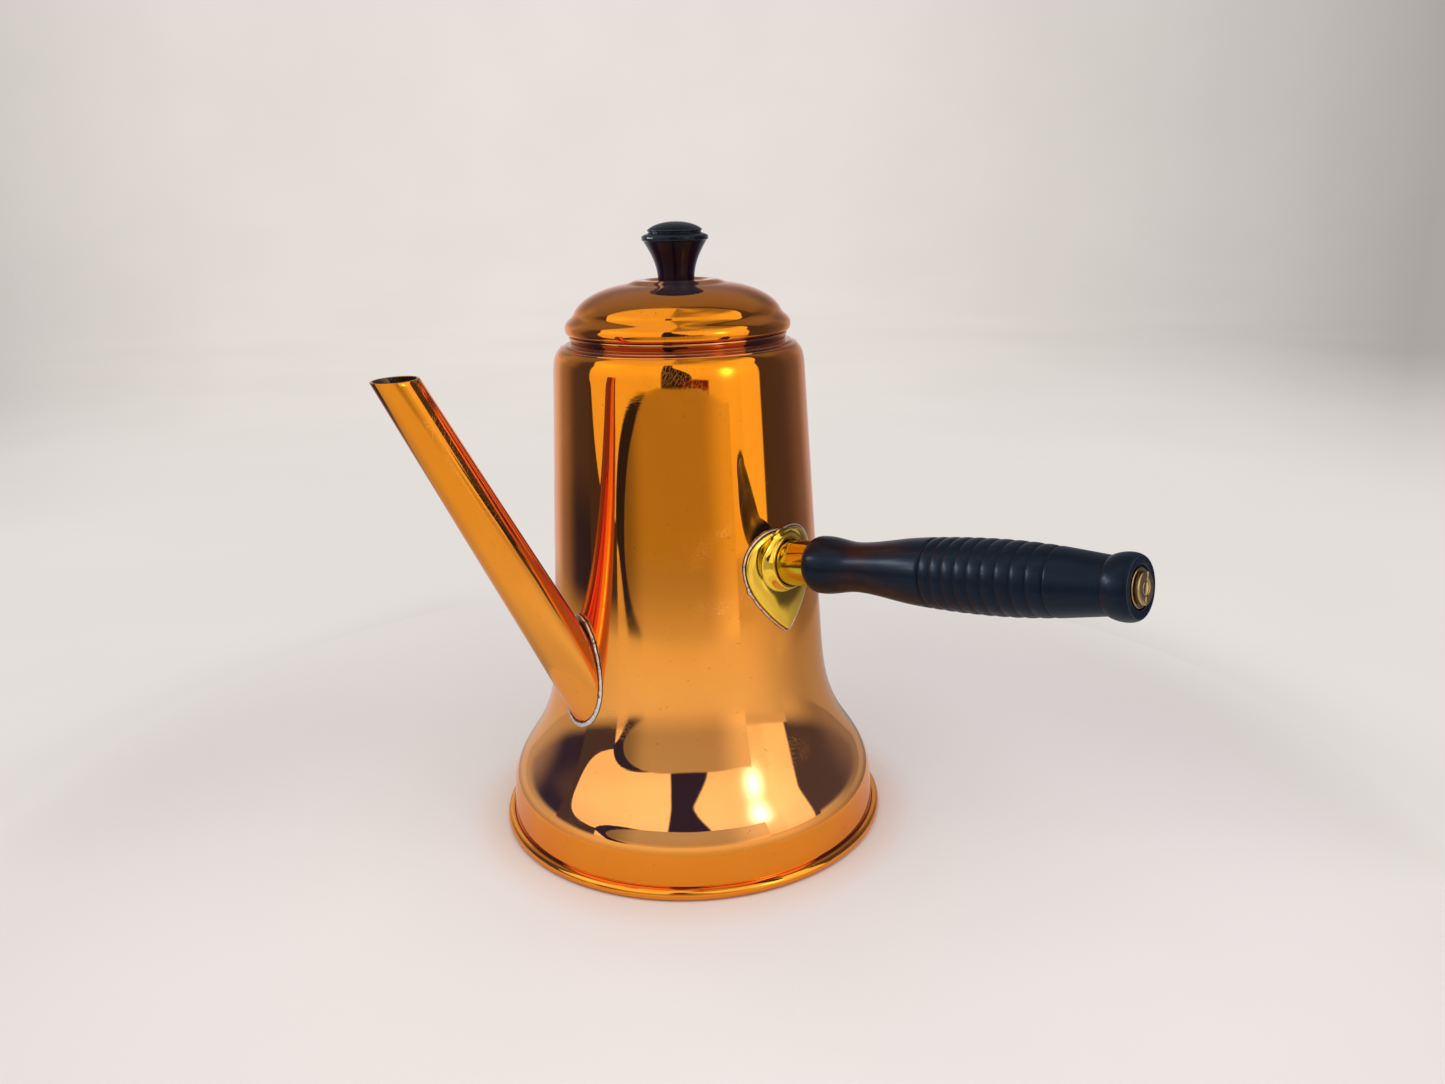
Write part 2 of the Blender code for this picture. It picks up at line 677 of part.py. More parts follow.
def main():
    clear_scene()
    copper = make_material("polished_copper", COPPER, 1.0, 0.08)
    lid_copper = make_material("lid_copper", COPPER, 1.0, 0.08)
    spout_copper = make_material("spout_copper", COPPER, 1.0, 0.12)
    solder = make_material("silver_solder", TIN, 1.0, 0.35)
    brass = make_material("polished_brass", BRASS, 1.0, 0.15)
    steel = make_material("plain_steel", STEEL, 1.0, 0.35)
    wood = make_material("stained_wood", EBONY, 0.0, 0.35)
    knob_material = make_material("dark_knob", BAKELITE, 0.0, 0.12)
    build_pot_shell(copper)
    build_base(copper, steel, solder)
    build_spout(spout_copper, solder)
    build_handle_plate(brass, solder)
    build_socket(brass, steel)
    build_grip(wood, brass)
    build_lid(lid_copper, solder, knob_material, brass, steel)


main()
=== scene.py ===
import math

import bmesh
import bpy
import numpy as np
from mathutils import Matrix, Vector, noise
from mathutils.geometry import interpolate_bezier


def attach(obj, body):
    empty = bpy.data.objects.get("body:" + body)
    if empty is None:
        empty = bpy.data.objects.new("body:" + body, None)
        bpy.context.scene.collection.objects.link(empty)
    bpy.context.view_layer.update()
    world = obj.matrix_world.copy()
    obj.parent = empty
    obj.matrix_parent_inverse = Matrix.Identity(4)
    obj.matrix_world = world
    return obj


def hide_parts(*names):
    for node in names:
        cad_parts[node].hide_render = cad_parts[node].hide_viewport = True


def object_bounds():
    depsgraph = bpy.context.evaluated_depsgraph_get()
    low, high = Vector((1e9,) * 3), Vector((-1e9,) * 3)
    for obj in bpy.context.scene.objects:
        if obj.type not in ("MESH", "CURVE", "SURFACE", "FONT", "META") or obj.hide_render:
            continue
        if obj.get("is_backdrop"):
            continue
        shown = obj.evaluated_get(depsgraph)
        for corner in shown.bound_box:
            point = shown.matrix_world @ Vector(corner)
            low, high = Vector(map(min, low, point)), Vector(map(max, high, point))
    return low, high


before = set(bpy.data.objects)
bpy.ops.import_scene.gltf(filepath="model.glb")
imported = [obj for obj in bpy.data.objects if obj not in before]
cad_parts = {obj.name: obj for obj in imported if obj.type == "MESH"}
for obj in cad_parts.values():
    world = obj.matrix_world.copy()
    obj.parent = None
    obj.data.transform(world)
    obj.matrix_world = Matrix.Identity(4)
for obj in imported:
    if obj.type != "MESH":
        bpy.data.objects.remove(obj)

CAD_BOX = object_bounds()

MM = 0.001
GAP = 0.3 * MM

# ---- sizes, as in the CAD
SHEET = 1.0 * MM
LID_SHEET = 0.9 * MM
BARREL_LOW = (57.0, 80.0)
BARREL_TOP = (50.6, 193.0)
HAUNCH = (70.5, 34.0)
SKIRT_TOP = (78.0, 18.0)
SKIRT_FOOT = (79.5, 1.0)
NECK_TOP = 207.5
LIP_POINTS = 5
RIM_CENTRE = 80.0
RIM_ROLL = 2.3
BASE_SHEET = 0.7
STRAINER_ROWS = (67.0, 73.0, 79.0, 85.0)
STRAINER_PITCH = 4.5
STRAINER_HOLE = 1.9
LID_LIP = 207.8
LID_LIP_INNER = 42.0
LID_BEAD_RADIUS = 45.0
LID_TOP = 228.0
LID_SEAT = 227.0
COLLAR_OUTER = 41.6
COLLAR_INNER = 40.8
COLLAR_TOP = 213.0
KNOB_FOOT = 227.3
KNOB_TOP = 250.0
KNOB_FLANGE = 13.1

SPOUT_LEAN = math.radians(27.9)
SPOUT_DOWN = Vector((-math.sin(SPOUT_LEAN), 0.0, -math.cos(SPOUT_LEAN)))
SPOUT_MOUTH = Vector((124.3 * MM, 0.0, 203.0 * MM))
SPOUT_MOUTH_RADIUS = 7.5 * MM
SPOUT_TAPER = 0.0241
SPOUT_WALL = 0.9 * MM
MOUTH_DROOP = 0.029

HANDLE_ANGLE = math.radians(93.5)
HANDLE_RISE = math.radians(8.05)
HANDLE_AXIS_HEIGHT = 114.2 * MM
PLATE_HEIGHT = 121.8 * MM
PLATE_THICKNESS = 1.3 * MM
PLATE_SHIFT = -0.7
SOCKET_RADIUS = 8.8
SOCKET_END = 82.0
GRIP_START = 72.0
GRIP_END = 199.0
NUT_RADIUS = 5.3
NUT_FACE = 200.6
ROD_RADIUS = 2.0
ROD_START = 61.0
BORE = 2.3
GROOVE_COUNT = 10
GROOVE_FIRST = 125.8


# ---- sections, (radius, height) in mm
def curve(start, start_handle, end_handle, end, count):
    knots = [Vector((*point, 0.0)) for point in (start, start_handle, end_handle, end)]
    return [(p.x, p.y) for p in interpolate_bezier(*knots, count)]


def line(start, end, count):
    (x, y), (dx, dy) = start, (end[0] - start[0], end[1] - start[1])
    return [(x + dx * i / (count - 1), y + dy * i / (count - 1)) for i in range(count)]


def arc(centre, radius, first, last, count):
    points = []
    for i in range(count):
        a = math.radians(first + (last - first) * i / (count - 1))
        points.append((centre[0] + radius * math.cos(a), centre[1] + radius * math.sin(a)))
    return points


def offset(points, distance, closed=False):
    """Points moved sideways: to the inner side, for a section that runs outwards and down."""
    count = len(points)
    moved = []
    for i, (x, y) in enumerate(points):
        before = points[i - 1 if closed else max(i - 1, 0)]
        after = points[(i + 1) % count if closed else min(i + 1, count - 1)]
        dx, dy = after[0] - before[0], after[1] - before[1]
        length = math.hypot(dx, dy)
        moved.append((x + dy / length * distance, y - dx / length * distance))
    return moved


def join(*runs):
    """Runs of points in one row; each starts where the one before it ends."""
    return runs[0] + [point for run in runs[1:] for point in run[1:]]


def body_profile():
    lip = arc((43.1, NECK_TOP - 0.5), 0.5, 90.0, 0.0, LIP_POINTS)
    neck = line(lip[-1], (42.85, 204.75), 8)
    root = curve(neck[-1], (42.75, 204.4), (42.95, 204.2), (43.6, 204.2), 6)
    bead = curve(root[-1], (44.9, 204.2), (45.3, 204.0), (45.5, 203.55), 7)
    ring = curve(bead[-1], (45.6, 203.4), (46.6, 203.2), (47.2, 203.0), 5)
    step = curve(ring[-1], (47.4, 202.9), (47.35, 202.6), (47.6, 202.4), 5)
    shoulder = curve(step[-1], (49.1, 201.0), (50.22, 199.4), BARREL_TOP, 24)
    barrel = line(BARREL_TOP, BARREL_LOW, 60)
    flare = curve(BARREL_LOW, (58.13, 60.0), (60.7, 48.0), HAUNCH, 60)
    haunch = curve(HAUNCH, (75.05, 27.5), (77.54, 23.0), SKIRT_TOP, 34)
    skirt = line(SKIRT_TOP, SKIRT_FOOT, 14)
    return join(lip, neck, root, bead, ring, step, shoulder, barrel, flare, haunch, skirt)


WALL_Z, WALL_R = np.array(sorted((z * MM, r * MM) for r, z in body_profile()[LIP_POINTS:])).T


def wall_radius(height):
    return float(np.interp(height, WALL_Z, WALL_R))


def lid_profile():
    seat = line((2.0, LID_SEAT), (8.6, LID_SEAT), 4)
    crest = (14.4, LID_TOP)
    crown = curve(seat[-1], (10.8, LID_SEAT), (11.6, LID_TOP), crest, 14)
    step = curve(crest, (17.6, LID_TOP), (17.8, 226.93), (21.0, 226.5), 16)
    foot = (41.0, 216.2)
    dome = curve(step[-1], (30.0, 225.3), (38.6, 221.3), foot, 56)
    edge = (LID_BEAD_RADIUS, 210.3)
    bead = curve(foot, (42.05, 213.7), (LID_BEAD_RADIUS, 213.4), edge, 26)
    lip = curve(edge, (LID_BEAD_RADIUS, 208.8), (44.5, LID_LIP), (43.4, LID_LIP), 12)
    return join(seat, crown, step, dome, bead, lip) + [(LID_LIP_INNER, LID_LIP)]


def knob_profile():
    flange = 242.8
    foot = arc((6.8, KNOB_FOOT + 0.4), 0.4, -90.0, 0.0, 4)
    throat = (KNOB_FLANGE - 0.55, flange)
    stem = curve((7.2, KNOB_FOOT + 0.4), (7.4, 234.0), (9.6, 238.0), throat, 36)
    edge = ((0.25, 0.12), (0.06, 0.3), (0.0, 0.55), (0.0, 1.45), (0.1, 1.75), (0.4, 2.0))
    rim = [(KNOB_FLANGE - inwards, flange + up) for inwards, up in edge]
    top = curve(rim[-1], (12.2, flange + 2.35), (11.2, flange + 2.6), (10.6, flange + 2.85), 5)
    groove = curve(top[-1], (10.3, flange + 3.0), (10.3, flange + 3.4), (10.55, flange + 3.55), 7)
    bead = curve(groove[-1], (10.95, flange + 3.75), (10.95, flange + 3.95), (10.7, flange + 4.15), 6)
    cap = curve(bead[-1], (8.9, 248.7), (5.0, KNOB_TOP), (0.0, KNOB_TOP), 30)
    return join(foot, stem) + join(rim, top, groove, bead, cap)


def smooth_grip_radius(t):
    """Radius of the grip before its rings are cut."""
    knots = [(GRIP_START, 9.5), (77.0, 10.9), (92.0, 9.2), (118.0, 11.9)]
    knots += [(145.0, 13.0), (166.0, 12.2), (189.6, 9.5)]
    slopes = [0.9, 0.0, 0.0, 0.08, 0.0, -0.08, -0.12]
    for i in range(len(knots) - 1):
        (t0, r0), (t1, r1) = knots[i], knots[i + 1]
        if t0 <= t <= t1:
            span = t1 - t0
            s = (t - t0) / span
            return (
                r0 * (1 + 2 * s) * (1 - s) ** 2
                + slopes[i] * span * s * (1 - s) ** 2
                + r1 * s * s * (3 - 2 * s)
                + slopes[i + 1] * span * s * s * (s - 1)
            )
    return knots[-1][1]


def grip_profile():
    """Closed section of the grip, with the rounded ribs cut into it."""
    groove_depth = 0.8
    roundness = 0.35
    half = (0.012, 0.04, 0.08, 0.14, 0.22, 0.32, 0.42, 0.5)
    across_rib = half + (0.58, 0.68, 0.78, 0.86, 0.92, 0.96, 0.988)
    grooves = [GROOVE_FIRST + 4.65 * i + 0.05 * i * i for i in range(GROOVE_COUNT)]
    stations = set(np.arange(GRIP_START + 1.0, 189.4, 0.5).round(3))
    stations = {t for t in stations if not grooves[0] - 1.6 < t < grooves[-1] + 1.6}
    for g, h in zip(grooves, grooves[1:]):
        stations |= {round(g + (h - g) * f, 3) for f in across_rib}
    for d in (1.2, 0.7, 0.35, 0.12):
        stations |= {round(grooves[0] - d, 3), round(grooves[-1] + d, 3)}
    outside = []
    for t in sorted(stations):
        r = smooth_grip_radius(t)
        nearest = min(abs(t - g) for g in grooves)
        if grooves[0] < t < grooves[-1]:
            index = max(i for i, g in enumerate(grooves) if g <= t)
            f = (t - grooves[index]) / (grooves[index + 1] - grooves[index])
            r -= groove_depth * (1.0 - (4.0 * f * (1.0 - f)) ** roundness)
        elif nearest < 1.2:
            r -= groove_depth * (1.0 - nearest / 1.2) ** 3
        outside.append((r, t))
    mouth = (SOCKET_RADIUS + GAP / MM, GRIP_START + 0.5)
    start = curve(mouth, (9.0, GRIP_START + 0.02), (9.5, GRIP_START), (9.62, GRIP_START + 0.15), 8)
    neck = (9.5, 189.9)
    bulge = curve(neck, (10.4, 190.6), (11.9, 196.4), (9.9, GRIP_END - 0.15), 30)
    rim = curve(bulge[-1], (9.8, GRIP_END), (9.7, GRIP_END), (9.4, GRIP_END), 4)
    recess = [(7.5, GRIP_END), (7.25, GRIP_END - 0.12), (7.12, GRIP_END - 0.4), (7.0, GRIP_END - 0.9)]
    bore = [(BORE, GRIP_END - 0.9), (BORE, SOCKET_END + 0.3), (SOCKET_RADIUS + 0.3, SOCKET_END + 0.3)]
    return start + outside + bulge + rim[1:] + recess + bore


# ---- mesh makers
def full_turn(steps):
    return [math.tau * j / steps for j in range(steps)]


def link(name, verts, faces):
    mesh = bpy.data.meshes.new(name)
    mesh.from_pydata([tuple(v) for v in verts], [], faces)
    mesh.validate()
    mesh.update()
    obj = bpy.data.objects.new(name, mesh)
    bpy.context.collection.objects.link(obj)
    return obj


def grid(rings, loop, wrap=True):
    """Vertices and faces of rings; loop joins the last ring to the first, wrap closes each ring."""
    count = len(rings[0])
    verts = [p for ring in rings for p in ring]
    faces = []
    rows = len(rings)
    for i in range(rows if loop else rows - 1):
        a, b = i * count, ((i + 1) % rows) * count
        for j in range(count if wrap else count - 1):
            k = (j + 1) % count
            faces.append((a + j, a + k, b + k, b + j))
    return verts, faces


def face_outwards(obj):
    """Point every normal out of the closed mesh."""
    bm = bmesh.new()
    bm.from_mesh(obj.data)
    bmesh.ops.remove_doubles(bm, verts=bm.verts, dist=1e-7)
    bmesh.ops.recalc_face_normals(bm, faces=bm.faces)
    bm.to_mesh(obj.data)
    bm.free()


def solid(name, rings, loop=True, sharp=40.0, layer=None, values=None):
    """A closed mesh of rings with its normals outwards; values fill a layer on its points."""
    obj = link(name, *grid(rings, loop))
    if layer:
        points = obj.data.attributes.new(layer, "FLOAT", "POINT")
        points.data.foreach_set("value", values.astype(np.float32))
    face_outwards(obj)
    obj.data.shade_smooth()
    obj.data.set_sharp_from_angle(angle=math.radians(sharp))
    return obj


def section_curvature(section, closed):
    """How far each corner of a section stands out (above 0) or in (below 0), from -1 to 1."""
    points = np.array(section)
    before = np.roll(points, 1, axis=0)
    after = np.roll(points, -1, axis=0)
    if not closed:
        before[0], after[-1] = points[0], points[-1]
    into, out = points - before, after - points
    cross = into[:, 0] * out[:, 1] - into[:, 1] * out[:, 0]
    dot = (into * out).sum(axis=1)
    turn = np.arctan2(cross, dot)
    span = 0.5 * (np.hypot(*into.T) + np.hypot(*out.T)) + 1e-6
    area = 0.5 * np.sum(points[:, 0] * after[:, 1] - after[:, 0] * points[:, 1])
    sign = 1.0 if area > 0.0 else -1.0
    return np.clip(sign * turn / span * 0.5, -1.0, 1.0)


def lathe(name, section, steps, closed=True, wobble=0.0, seed=0.0, sharp=40.0):
    """Turn a section of (radius, height) in mm about +Z.  Open sections start and end on the axis."""
    curvature = section_curvature(section, closed)
    rings = []
    for r, z in section:
        ring = []
        for a in full_turn(steps):
            extra = 0.0
            if wobble:
                spot = Vector((math.cos(a) * r * 0.03 + seed, math.sin(a) * r * 0.03, z * 0.022))
                extra = wobble * noise.noise(spot)
            radius = (r + extra) * MM
            ring.append((radius * math.cos(a), radius * math.sin(a), z * MM))
        rings.append(ring)
    return solid(name, rings, closed, sharp, "curvature", np.repeat(curvature, steps))


def solve(function, low, high):
    """Where a rising function crosses zero."""
    for _ in range(34):
        middle = 0.5 * (low + high)
        if function(middle) > 0.0:
            high = middle
        else:
            low = middle
    return 0.5 * (low + high)


def put(obj, body, slot, material, *nodes):
    """Finish a piece: its material, the body it rides on and the CAD nodes it stands for."""
    obj.data.materials.clear()
    obj.data.materials.append(material)
    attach(obj, body)
    if nodes:
        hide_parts(*nodes)
    return obj


# ---- handle geometry
def handle_matrix():
    """Local Z runs out along the handle, local Y leans up."""
    ca, sa = math.cos(HANDLE_ANGLE), math.sin(HANDLE_ANGLE)
    cr, sr = math.cos(HANDLE_RISE), math.sin(HANDLE_RISE)
    along = Vector((cr * ca, cr * sa, sr))
    side = Vector((-sa, ca, 0.0))
    up = Vector((-sr * ca, -sr * sa, cr))
    matrix = Matrix((side, up, along)).transposed().to_4x4()
    matrix.translation = Vector((0.0, 0.0, HANDLE_AXIS_HEIGHT))
    return matrix


HANDLE = handle_matrix()


def on_handle(obj):
    obj.matrix_world = HANDLE
    return obj


def about_handle(turn, radius, t):
    return HANDLE @ Vector((radius * math.cos(turn), radius * math.sin(turn), t))


def handle_meets_pot(turn, radius, clearance):
    def outside(t):
        p = about_handle(turn, radius, t)
        return math.hypot(p.x, p.y) - wall_radius(p.z) - clearance
    return solve(outside, 30.0 * MM, 90.0 * MM)


def on_wall(u, v, height):
    angle = HANDLE_ANGLE + u / wall_radius(PLATE_HEIGHT)
    z = PLATE_HEIGHT + v
    radius = wall_radius(z) + height
    return Vector((radius * math.cos(angle), radius * math.sin(angle), z))


def unwrap(point):
    angle = math.atan2(point.y, point.x) - HANDLE_ANGLE
    return angle * wall_radius(PLATE_HEIGHT), point.z - PLATE_HEIGHT


def plate_outline():
    widest = (18.3, 1.2)
    flank = curve((0.6, -26.8), (8.0, -20.8), (19.0, -9.0), widest, 40)
    lobe = curve(widest, (17.6, 10.8), (7.0, 15.2), (0.0, 12.4), 40)
    right = flank + lobe[1:]
    left = [(-u, v) for u, v in reversed(right[:-1])]
    return [((u + PLATE_SHIFT) * MM, v * MM) for u, v in right + left]


def even_points(outline, count):
    """Points at equal steps along a closed outline."""
    closed = np.array(outline + outline[:1])
    along = np.concatenate(([0.0], np.cumsum(np.hypot(*np.diff(closed, axis=0).T))))
    steps = along[-1] * np.arange(count) / count
    return list(zip(*(np.interp(steps, along, column).tolist() for column in closed.T)))


# ---- spout geometry
def spout_point(turn, s, growth):
    across = Vector((0.0, 1.0, 0.0))
    outward = across.cross(SPOUT_DOWN)
    radius = SPOUT_MOUTH_RADIUS + SPOUT_TAPER * s + growth
    return SPOUT_MOUTH + SPOUT_DOWN * s + (outward * math.cos(turn) + across * math.sin(turn)) * radius


def spout_meets_pot(turn, growth, clearance):
    def inside(s):
        p = spout_point(turn, s, growth)
        return wall_radius(p.z) + clearance - math.hypot(p.x, p.y)
    return spout_point(turn, solve(inside, 60.0 * MM, 190.0 * MM), growth)


def spout_meets_mouth(turn, growth):
    def below(s):
        p = spout_point(turn, s, growth) - SPOUT_MOUTH
        return -(p.z + MOUTH_DROOP * p.x)
    return spout_point(turn, solve(below, -30.0 * MM, 30.0 * MM), growth)


# ---- pieces
POT_STEPS = 256
SMALL_STEPS = 128
SPOUT_STEPS = 144
PLATE_STEPS = 220


def build_pot(mats):
    outside = body_profile()
    inside = offset(outside, SHEET / MM)[::2]
    shell = lathe("pot_body", outside + inside[::-1], POT_STEPS, wobble=0.06)
    holes = []
    for row, height in enumerate(STRAINER_ROWS):
        for place in ((0,) if row % 2 == 0 else (-1, 1)):
            reach, r = 10.0, STRAINER_HOLE
            drill = lathe("drill", [(0.0, -reach), (r, -reach), (r, reach), (0.0, reach)], 24, closed=False)
            spot = Vector((wall_radius(height * MM), place * STRAINER_PITCH * MM, height * MM))
            drill.matrix_world = Matrix.Translation(spot) @ Matrix.Rotation(math.pi / 2, 4, "Y")
            holes.append(drill)
    cut(shell, holes)
    put(shell, "pot", "copper", mats["copper"], "pot_shell")

    outer = arc((RIM_CENTRE, RIM_ROLL), RIM_ROLL, -90.0, 104.0, 26)
    inner = arc((RIM_CENTRE, RIM_ROLL), RIM_ROLL - BASE_SHEET, 104.0, -90.0, 14)
    section = [(0.0, 0.0)] + line((4.0, 0.0), (78.0, 0.0), 30) + outer + inner + [(0.0, BASE_SHEET)]
    pan = lathe("base_rim", section, POT_STEPS, closed=False)
    put(pan, "pot", "copper", mats["rim"], "base_pan")


def cut(target, cutters):
    """Take the cutters out of the target for good."""
    for cutter in cutters:
        modifier = target.modifiers.new("cut", "BOOLEAN")
        modifier.operation = "DIFFERENCE"
        modifier.solver = "EXACT"
        modifier.object = cutter
    bpy.context.view_layer.update()
    depsgraph = bpy.context.evaluated_depsgraph_get()
    mesh = bpy.data.meshes.new_from_object(target.evaluated_get(depsgraph))
    target.modifiers.clear()
    old = target.data
    target.data = mesh
    bpy.data.meshes.remove(old)
    for cutter in cutters:
        bpy.data.objects.remove(cutter)


def build_spout(mats):
    turns = full_turn(SPOUT_STEPS)
    edge = SPOUT_DOWN * (0.22 * MM)

    def mouth(growth, lower=0.0):
        return [spout_meets_mouth(a, growth) + edge * lower for a in turns]

    def foot(growth):
        return [spout_meets_pot(a, growth, GAP) for a in turns]

    lines = list(zip(mouth(0.0), foot(0.0)))
    rings = [[m.lerp(n, f) for m, n in lines] for f in np.linspace(1.0, 0.0, 72)[:-1]]
    rings += [mouth(0.0, 1.0), mouth(-0.15 * MM, 0.3), mouth(-0.45 * MM), mouth(-0.75 * MM, 0.3)]
    outside = len(rings)
    lines = list(zip(mouth(-SPOUT_WALL, 1.0), foot(-SPOUT_WALL)))
    rings += [[m.lerp(n, f) for m, n in lines] for f in np.linspace(0.0, 1.0, 30)]
    axis = Matrix.Translation(SPOUT_MOUTH) @ Matrix.Rotation(SPOUT_LEAN, 4, "Y")
    back = axis.inverted()
    rings = [[back @ p for p in ring] for ring in rings]
    inner = np.repeat(np.arange(len(rings)) >= outside, SPOUT_STEPS)
    spout = solid("spout", rings, True, 50.0, "inner", inner)
    spout.matrix_world = axis
    put(spout, "pot", "copper", mats["spout"], "spout_tube")

    rings = []
    for i in range(13):
        a = math.pi * i / 12.0
        out, up = 0.5 + 0.5 * math.cos(a), math.sin(a)
        ring = []
        for turn in turns:
            top = max(0.0, math.cos(turn)) ** 2
            spot = Vector((math.cos(turn) * 3.0, math.sin(turn) * 3.0, 0.0))
            rough = 0.5 + 0.5 * top
            width = (0.95 + 1.25 * top + 0.35 * rough * noise.noise(spot * 3.0)) * MM
            lumps = noise.noise(spot * 4.0 + Vector((7.0, i * 0.35, 0.0)))
            height = (0.75 + 0.35 * top + 0.35 * rough * lumps) * MM
            growth = GAP + width * out
            clearance = GAP + 0.9 * height * up
            ring.append(spout_meets_pot(turn, growth, clearance))
        rings.append(ring)
    put(solid("spout_seam", rings, sharp=60.0), "pot", "solder", mats["solder"], "spout_solder")


def build_plate(mats):
    outline = even_points(plate_outline(), PLATE_STEPS)
    turns = [math.atan2(v, u) for u, v in outline]
    hole = (SOCKET_RADIUS + 0.3) * MM
    thick = PLATE_THICKNESS

    def on_face(radius, lift, shift=(0.0, 0.0)):
        ring = []
        for a in turns:
            t = handle_meets_pot(a, radius, GAP + lift)
            u, v = unwrap(about_handle(a, radius, t))
            ring.append((u + shift[0] * MM, v + shift[1] * MM, GAP + lift))
        return ring

    foot = on_face(hole + 3.4 * MM, thick + 0.1 * MM, (-0.9, 1.0))
    rings = [[on_wall(u, v, GAP) for u, v in outline]]
    for out, height in ((0.0, 0.25), (0.0, 0.7), (-0.06, 0.95), (-0.2, 1.12), (-0.42, 1.24), (-0.7, 1.3)):
        rings.append([on_wall(u, v, GAP + height * MM) for u, v in offset(outline, out * MM, True)])
    edge = offset(outline, -0.7 * MM, True)
    for f in np.linspace(0.0, 1.0, 22)[1:]:
        swell = 0.25 * math.sin(math.pi * f) * MM
        rings.append([
            on_wall(u + (p[0] - u) * f, v + (p[1] - v) * f, GAP + thick + swell + (p[2] - GAP - thick) * f)
            for (u, v), p in zip(edge, foot)
        ])
    before, base = rings[-2:]
    for f in np.linspace(0.0, 1.0, 12)[1:]:
        ring = []
        for a, p, q in zip(turns, base, before):
            lead = p + (p - q).normalized() * 1.6 * MM
            top = about_handle(a, hole + 1.35 * MM, 58.55 * MM)
            low = about_handle(a, hole + 1.75 * MM, 57.3 * MM)
            g = 1.0 - f
            ring.append(p * g ** 3 + lead * 3 * g * g * f + low * 3 * g * f * f + top * f ** 3)
        rings.append(ring)
    for radius, t in ((1.25, 58.85), (1.02, 59.05), (0.7, 59.15), (0.3, 59.1), (0.08, 58.95), (0.0, 58.6)):
        rings.append([about_handle(a, hole + radius * MM, t * MM) for a in turns])
    rings.append([on_wall(*p) for p in on_face(hole, 0.0)])
    back = HANDLE.inverted()
    plate = solid("handle_shield", [[back @ p for p in ring] for ring in rings], sharp=42.0)
    put(on_handle(plate), "pot", "brass", mats["brass"], "handle_plate")

    rings = []
    for i in range(11):
        a = math.pi * i / 10.0
        out, up = 0.5 + 0.5 * math.cos(a), math.sin(a)
        ring = []
        for (u, v), (u0, v0) in zip(offset(outline, MM, True), outline):
            spot = Vector((u0, v0, 0.0)) / (3.0 * MM)
            blob = math.exp(-((u0 / MM + 17.6) ** 2 + (v0 / MM + 8.6) ** 2) / 1.4)
            width = 0.78 + 0.16 * noise.noise(spot) + 1.1 * blob
            height = 0.62 + 0.12 * noise.noise(spot * 1.3 + Vector((3.0, 0.0, i * 0.2))) + 0.5 * blob
            f = 0.3 + width * out
            ring.append(on_wall(u0 + (u - u0) * f, v0 + (v - v0) * f, GAP + height * up * MM))
        rings.append(ring)
    put(solid("shield_seam", rings, sharp=60.0), "pot", "solder", mats["solder"], "plate_solder")


def slot_cutter(stretch, turn, height):
    """A bar that cuts a slot across a screw head whose face is at this height in mm."""
    bar = lathe("slot", [(0.0, -1.0), (0.5, -1.0), (0.5, 1.0), (0.0, 1.0)], 4, closed=False)
    squared, turned = (Matrix.Rotation(math.radians(a), 4, "Z") for a in (45.0, turn))
    lifted = Matrix.Translation((0.0, 0.0, height * MM))
    for step in (squared, Matrix.Diagonal((*stretch, 1.0)), turned, lifted):
        bar.data.transform(step)
    return bar


def build_handle(mats):
    turns = full_turn(SMALL_STEPS)
    back = HANDLE.inverted()
    rings = []
    for radius, order in ((SOCKET_RADIUS, (0.0, 1.0)), (SOCKET_RADIUS - 1.0, (1.0, 0.0))):
        foot = [about_handle(a, radius * MM, handle_meets_pot(a, radius * MM, GAP)) for a in turns]
        end = [about_handle(a, radius * MM, SOCKET_END * MM) for a in turns]
        for f in np.linspace(*order, 16):
            rings.append([back @ p.lerp(q, f) for p, q in zip(foot, end)])
    put(on_handle(solid("handle_tube", rings)), "pot", "brass", mats["tube"], "handle_socket")

    grip = on_handle(lathe("grip", grip_profile(), SMALL_STEPS, sharp=50.0))
    put(grip, "pot", "grip_wood", mats["wood"], "handle_grip")

    foot = GRIP_END - 0.6
    top = foot + 0.6
    section = [(BORE, foot), (6.1, foot), (6.3, foot + 0.15), (6.3, top - 0.15), (6.15, top)]
    section += [(2.5, top), (BORE, top - 0.1)]
    put(on_handle(lathe("washer", section, 96)), "pot", "brass", mats["worn_brass"], "end_washer")

    foot = top + 0.3
    section = [(BORE, foot), (NUT_RADIUS - 0.1, foot)]
    section += [(NUT_RADIUS, foot + 0.1), (NUT_RADIUS, NUT_FACE - 0.45)]
    section += arc((NUT_RADIUS - 0.4, NUT_FACE - 0.45), 0.4, 0.0, 75.0, 6)
    section += [(NUT_RADIUS - 1.2, NUT_FACE), (3.4, NUT_FACE + 0.04), (2.55, NUT_FACE)]
    section += [(BORE, NUT_FACE - 0.15)]
    nut = lathe("nut", section, 96)
    slot = ((1.3, 40.0, 1.3), -17.0, NUT_FACE)
    cut(nut, [slot_cutter(*slot)])
    put(on_handle(nut), "pot", "brass", mats["worn_brass"], "end_nut")

    section = [(0.0, ROD_START), (1.7, ROD_START), (ROD_RADIUS, ROD_START + 0.4)]
    section += [(ROD_RADIUS, NUT_FACE - 2.3), (2.2, NUT_FACE - 2.1)]
    section += [(2.2, NUT_FACE - 0.12), (2.1, NUT_FACE - 0.02), (0.0, NUT_FACE - 0.02)]
    rod = lathe("rod", section, 96, closed=False)
    cut(rod, [slot_cutter(*slot)])
    put(on_handle(rod), "pot", "steel", mats["worn_brass"], "tie_rod")


